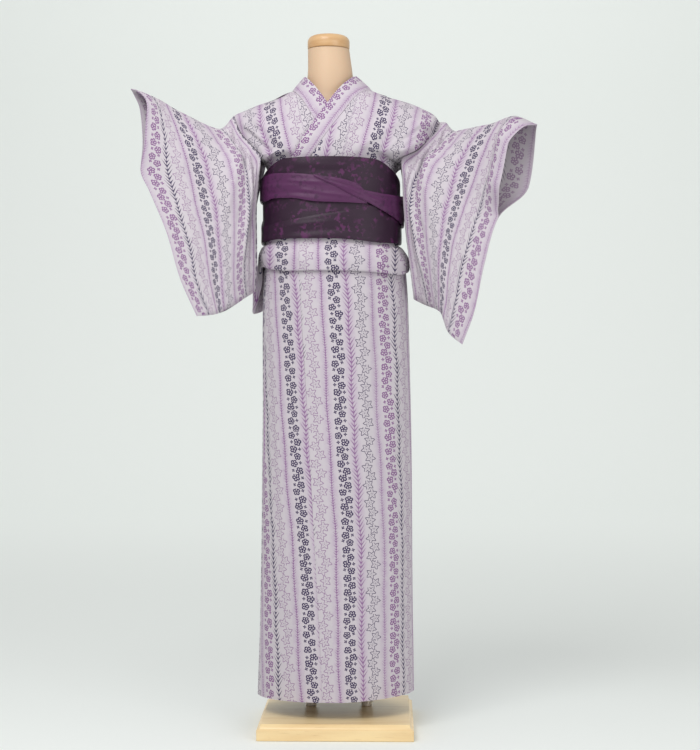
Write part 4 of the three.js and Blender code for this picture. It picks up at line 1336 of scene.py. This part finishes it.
def cotton_look(name, fade):
    """fade: how strong the print is, less than 1 on the cloth's reverse."""
    material, tree, shader = blank(name, {
        "Roughness": 0.86, "Sheen Weight": 0.03, "Sheen Roughness": 0.5, "Specular IOR Level": 0.15,
    })
    vector = cloth_coords(tree)
    dark, lilac, stain = print_masks(tree, vector)
    wear = noise(tree, vector, 9.0, 3.0) * 0.24 + 0.88
    ground = mix(tree, noise(tree, vector, 0.35, 2.0), GROUND_COOL, GROUND_WARM)
    ground = mix(tree, stain * (0.62 * fade), ground, STAIN)
    colour = mix(tree, (lilac * wear).put("MINIMUM", 1.0) * (0.95 * fade), ground, LILAC)
    colour = mix(tree, (dark * wear).put("MINIMUM", 1.0) * (0.95 * fade), colour, DARK)
    connect(tree, shader, colour=colour)
    # Warp and weft threads are two crossed waves.
    threads = wave(tree, vector, "X", 8.0, 0.6) + wave(tree, vector, "Y", 8.0, 0.6)
    add_bump(tree, shader, threads, 0.25, 0.0004)
    return material


def satin_look(name, base, figure, ridge):
    """Jacquard satin: matt figures on a shiny ground, with fine weft lines whose crests carry a painted
    sheen in the lighter ridge colour.
    """
    material, tree, shader = blank(name, {
        "Sheen Weight": 0.02, "Sheen Roughness": 0.35, "Specular IOR Level": 0.32,
        "Sheen Tint": srgb(196, 150, 200),
    })
    coords = object_coords(tree)
    patch = ((noise(tree, coords, 34.0, 5.0) - 0.44) * 7.0).limit()
    fleck = ((noise(tree, coords, 110.0, 3.0) - 0.5) * 11.0).limit()
    figures = patch * fleck
    thread = wave(tree, cloth_coords(tree), "Y", 320.0, 1.5)
    # The weft lines are the weave. Their lean towards the lighter ridge colour is painted sheen on the
    # thread crests.
    colour = mix(tree, thread * 0.22, mix(tree, figures * 0.8, base, figure), ridge)
    connect(tree, shader, colour=colour, roughness=figures * 0.18 + 0.36)
    add_bump(tree, shader, thread * 0.4 + figures, 0.35, 0.0006)
    return material


def skin_look():
    """The form's smooth painted surface, faintly mottled."""
    material, tree, shader = blank("form_paint", {"Roughness": 0.5, "Subsurface Weight": 0.05})
    coords = object_coords(tree)
    connect(tree, shader, colour=mix(tree, noise(tree, coords, 9.0, 3.0), (210, 180, 150), (202, 171, 140)))
    add_bump(tree, shader, noise(tree, coords, 260.0, 2.0), 0.06, 0.0006)
    return material


def wood_look(name, light, dark, stretch):
    """Clear-finished pale wood with grain along one axis."""
    material, tree, shader = blank(name, {"Coat Weight": 0.25, "Coat Roughness": 0.2})
    coords = object_coords(tree, stretch)
    pores = noise(tree, coords, 90.0, 3.0)
    band = ((noise(tree, coords, 14.0, 6.0) - 0.42) * 3.2).limit()
    pits = ((pores - 0.6) * 3.0).put("MAXIMUM", 0.0) * 0.5
    colour = mix(tree, pits, mix(tree, band, light, dark), (176, 138, 92))
    connect(tree, shader, colour=colour, roughness=pores * 0.14 + 0.32)
    add_bump(tree, shader, pores, 0.12, 0.0004)
    return material


def metal_look():
    """Steel tube brushed along its length."""
    material, tree, shader = blank("brushed_metal", {"Metallic": 1.0})
    brushed = noise(tree, object_coords(tree, (1, 1, 0.04)), 420.0, 3.0)
    colour = mix(tree, brushed, (176, 168, 156), (206, 198, 186))
    connect(tree, shader, colour=colour, roughness=brushed * 0.2 + 0.22)
    return material


# ---------- form and stand ----------
def make_form():
    """The torso in one smooth skin on the CAD form's sections."""
    z = np.linspace(FORM[0]["z"], FORM[-1]["z"] - 0.4, 150)[:, None]
    angle = np.linspace(0, 360, 129)[None, :-1]
    rings = on_section(curves(FORM, "z")(z), angle, z, -0.2)
    loft("form_skin", "form_torso", rings, LOOK["skin"], 50)


def box_of(node):
    """A node's lowest and highest corners, its centre and its half-width, in mm."""
    low, high = (np.array(v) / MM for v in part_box(node))
    return low, high, (low + high) / 2, (high[0] - low[0]) / 2


def turned(name, node, profile, look, sides=64, sharp=40):
    """A body turned on a lathe: profile holds radius and height."""
    _, _, centre, _ = box_of(node)
    a = np.linspace(0, 2 * math.pi, sides, endpoint=False)
    rings = [stack(centre[0] + r * np.sin(a), centre[1] - r * np.cos(a), z + 0 * a) for r, z in profile]
    loft(name, node, np.stack(rings), look, sharp)


def make_cap():
    """A turned cap with a round shoulder."""
    low, high, _, r = box_of("neck_cap")
    bottom = low[2]
    top = high[2]
    shoulder = 14
    profile = [(r - 2, bottom), (r - 0.6, bottom + 0.8), (r, bottom + 3), (r, top - shoulder)]
    for a in np.linspace(0, 1, 14)[1:] * math.pi / 2:
        profile.append((r - shoulder + shoulder * math.cos(a), top - shoulder + shoulder * math.sin(a)))
    profile += [(r - 22, top), (0.4, top)]
    turned("neck_cap_turned", "neck_cap", profile, LOOK["cap_wood"], 96)


def make_poles():
    ease = 0.5
    ring_ease = 0.8
    bore = 11.8
    for side in ("right", "left"):
        low, high, _, r = box_of("pole_" + side)
        profile = [(r - ease, low[2]), (r, low[2] + ease), (r, high[2] - ease), (r - ease, high[2])]
        turned(f"pole_{side}_tube", "pole_" + side, profile, LOOK["metal"])
        low, high, _, r = box_of("pole_ring_" + side)
        inner = r - ring_ease
        profile = [(bore, low[2]), (inner, low[2]), (r, low[2] + ring_ease), (r, high[2] - ring_ease),
                   (inner, high[2]), (bore, high[2])]
        turned(f"pole_ring_{side}_turned", "pole_ring_" + side, profile, LOOK["metal"])


def make_base():
    """The plate: eased corners, a step and a hollow moulding round its top."""
    low, high, _, _ = box_of("stand_base")
    half = (high - low) / 2
    profile = [(0.8, 0), (0, 0.8), (0, 21.7), (0.8, 22.5), (2, 22.7)]
    for a in np.linspace(0, 1, 9) * math.pi / 2:
        profile.append((2 + 6 * math.sin(a), 34 - 11.0 * math.cos(a)))
    profile += [(8.8, 34)]
    ease = 2.5
    rings = []
    for inset, z in profile:
        ring = []
        for cx, cy, start in ((-1, -1, 180), (1, -1, 270), (1, 1, 0), (-1, 1, 90)):
            a = np.radians(start + 90 * np.linspace(0, 1, 6))
            w = half[0] - inset - ease
            d = half[1] - inset - ease
            ring.append(stack(cx * w + ease * np.cos(a), cy * d + ease * np.sin(a), z))
        rings.append(np.concatenate(ring))
    loft("base_plate", "stand_base", np.stack(rings), LOOK["base_wood"], 35)


# ---------- studio, in metres ----------
def make_backdrop():
    """A pale sweep: floor, a wide curve and a wall."""
    radius = 3.0
    wall_y = 9.0
    line = [(-9.0, 0.0)]
    for a in np.linspace(0, 1, 24) * math.pi / 2:
        line.append((wall_y - radius + radius * math.sin(a), radius - radius * math.cos(a)))
    line.append((wall_y, 9.0))
    points = [(x, y, z - 0.0005) for y, z in line for x in (-12.0, 12.0)]
    faces = [(2 * i, 2 * i + 1, 2 * i + 3, 2 * i + 2) for i in range(len(line) - 1)]
    paper, _, _ = blank("backdrop_paper", {"Roughness": 0.95, "Base Color": srgb(*BACKDROP)})
    obj = new_object("backdrop", points, faces, [paper])
    soften(obj.data)


def area_light(name, place, aim, size, power):
    data = bpy.data.lights.new(name, "AREA")
    data.shape = "RECTANGLE"
    data.size, data.size_y = size
    data.energy = power
    obj = bpy.data.objects.new(name, data)
    bpy.context.scene.collection.objects.link(obj)
    obj.location = place
    direction = np.array(aim) - np.array(place)
    obj.rotation_euler = (
        math.atan2(math.hypot(direction[0], direction[1]), -direction[2]),
        0,
        math.atan2(direction[1], direction[0]) - math.pi / 2,
    )


def make_lights():
    world = bpy.data.worlds.new("studio")
    world.use_nodes = True
    settings(world.node_tree.nodes["Background"], {"Color": (1.0, 1.0, 1.0, 1.0), "Strength": WORLD})
    bpy.context.scene.world = world
    area_light("key", (-0.7, -1.7, 2.7), (0, 0, 1.25), (1.4, 1.4), KEY)
    area_light("fill", (2.3, -3.0, 1.5), (0, 0, 0.6), (2.0, 1.4), FILL)
    area_light("wall_wash", (0, 4.0, 5.5), (0, 9.0, 2.0), (7.0, 2.0), WALL_WASH)


def make_camera():
    """A level camera at about waist height."""
    data = bpy.data.cameras.new("camera")
    data.sensor_width = 36.0
    data.lens = LENS
    obj = bpy.data.objects.new("camera", data)
    obj.location = CAMERA_PLACE
    obj.rotation_euler = (math.radians(90), 0, math.radians(CAMERA_TURN))
    bpy.context.scene.collection.objects.link(obj)
    bpy.context.scene.camera = obj


LOOK = {
    "print": cotton_look("cotton_print", 1.0),
    "reverse": cotton_look("cotton_reverse", REVERSE_FADE),
    # Each satin's third colour is the painted sheen on its weft thread crests.
    "satin": satin_look("obi_satin", (42, 21, 40), (92, 38, 86), (54, 30, 54)),
    "bright": satin_look("obi_bright_satin", (78, 34, 74), (52, 24, 52), (96, 52, 94)),
    "skin": skin_look(),
    "cap_wood": wood_look("cap_wood", (206, 168, 122), (190, 146, 98), (1.0, 1.0, 6.0)),
    "base_wood": wood_look("base_wood", (244, 217, 166), (232, 200, 148), (0.35, 3.0, 3.0)),
    "metal": metal_look(),
}
BOTH_FACES = [LOOK["print"], LOOK["reverse"]]

bpy.context.scene.view_settings.view_transform = "Standard"
make_camera()
make_lights()
make_backdrop()
make_form()
make_cap()
make_poles()
make_base()
make_skirt()
make_body("body_right", SLEEVE_RIGHT, RIGHT_INNER, RIGHT_OUTER, 0, right_place, BODY_RIGHT_LINES)
make_body("body_left", SLEEVE_LEFT, LEFT_INNER, LEFT_OUTER, OVER_WRAP, left_place, BODY_LEFT_LINES)
make_sleeve("sleeve_right", SLEEVE_RIGHT, SLEEVE_RIGHT_LINES, lambda u: u / PITCH - 0.95)
make_sleeve("sleeve_left", SLEEVE_LEFT, SLEEVE_LEFT_LINES, lambda u: u / PITCH - 1.25)
make_collar()
make_fold("fold_front", -88, 90, 150, fold_place)
make_fold("fold_back_left", 90, 180, 80, lambda p, x: 4 + p / PITCH)
make_fold("fold_back_right", -180, -88, 90, lambda p, x: 4 + p / PITCH)
belt_low = curve(BELT_LOW, "angle", "z")
belt_top = curve(BELT_TOP, "angle", "z")
wrap_top = curve(OUTER_WRAP_TOP, "angle", "z")
make_belt("obi_wrap_inner", belt_low, belt_top, -179.5, 179.5, -5, "satin", INNER_LINES)
make_belt("obi_wrap_outer", belt_low, wrap_top, -150, 150, -1.5, "satin", OUTER_LINES)
low, high = (curve(BAND_RIGHT, "angle", edge) for edge in ("low", "high"))
make_belt("obi_band_right", low, high, -104, 28, 1.2, "bright", BAND_RIGHT_LINES, cols=160)
low, high = (curve(BAND_LEFT, "angle", edge) for edge in ("low", "high"))
make_belt("obi_band_left", low, high, -10, 104, 4, "bright", BAND_LEFT_LINES, cols=150)
make_bow("obi_bow_right", -1)
make_bow("obi_bow_left", 1)
make_knot()
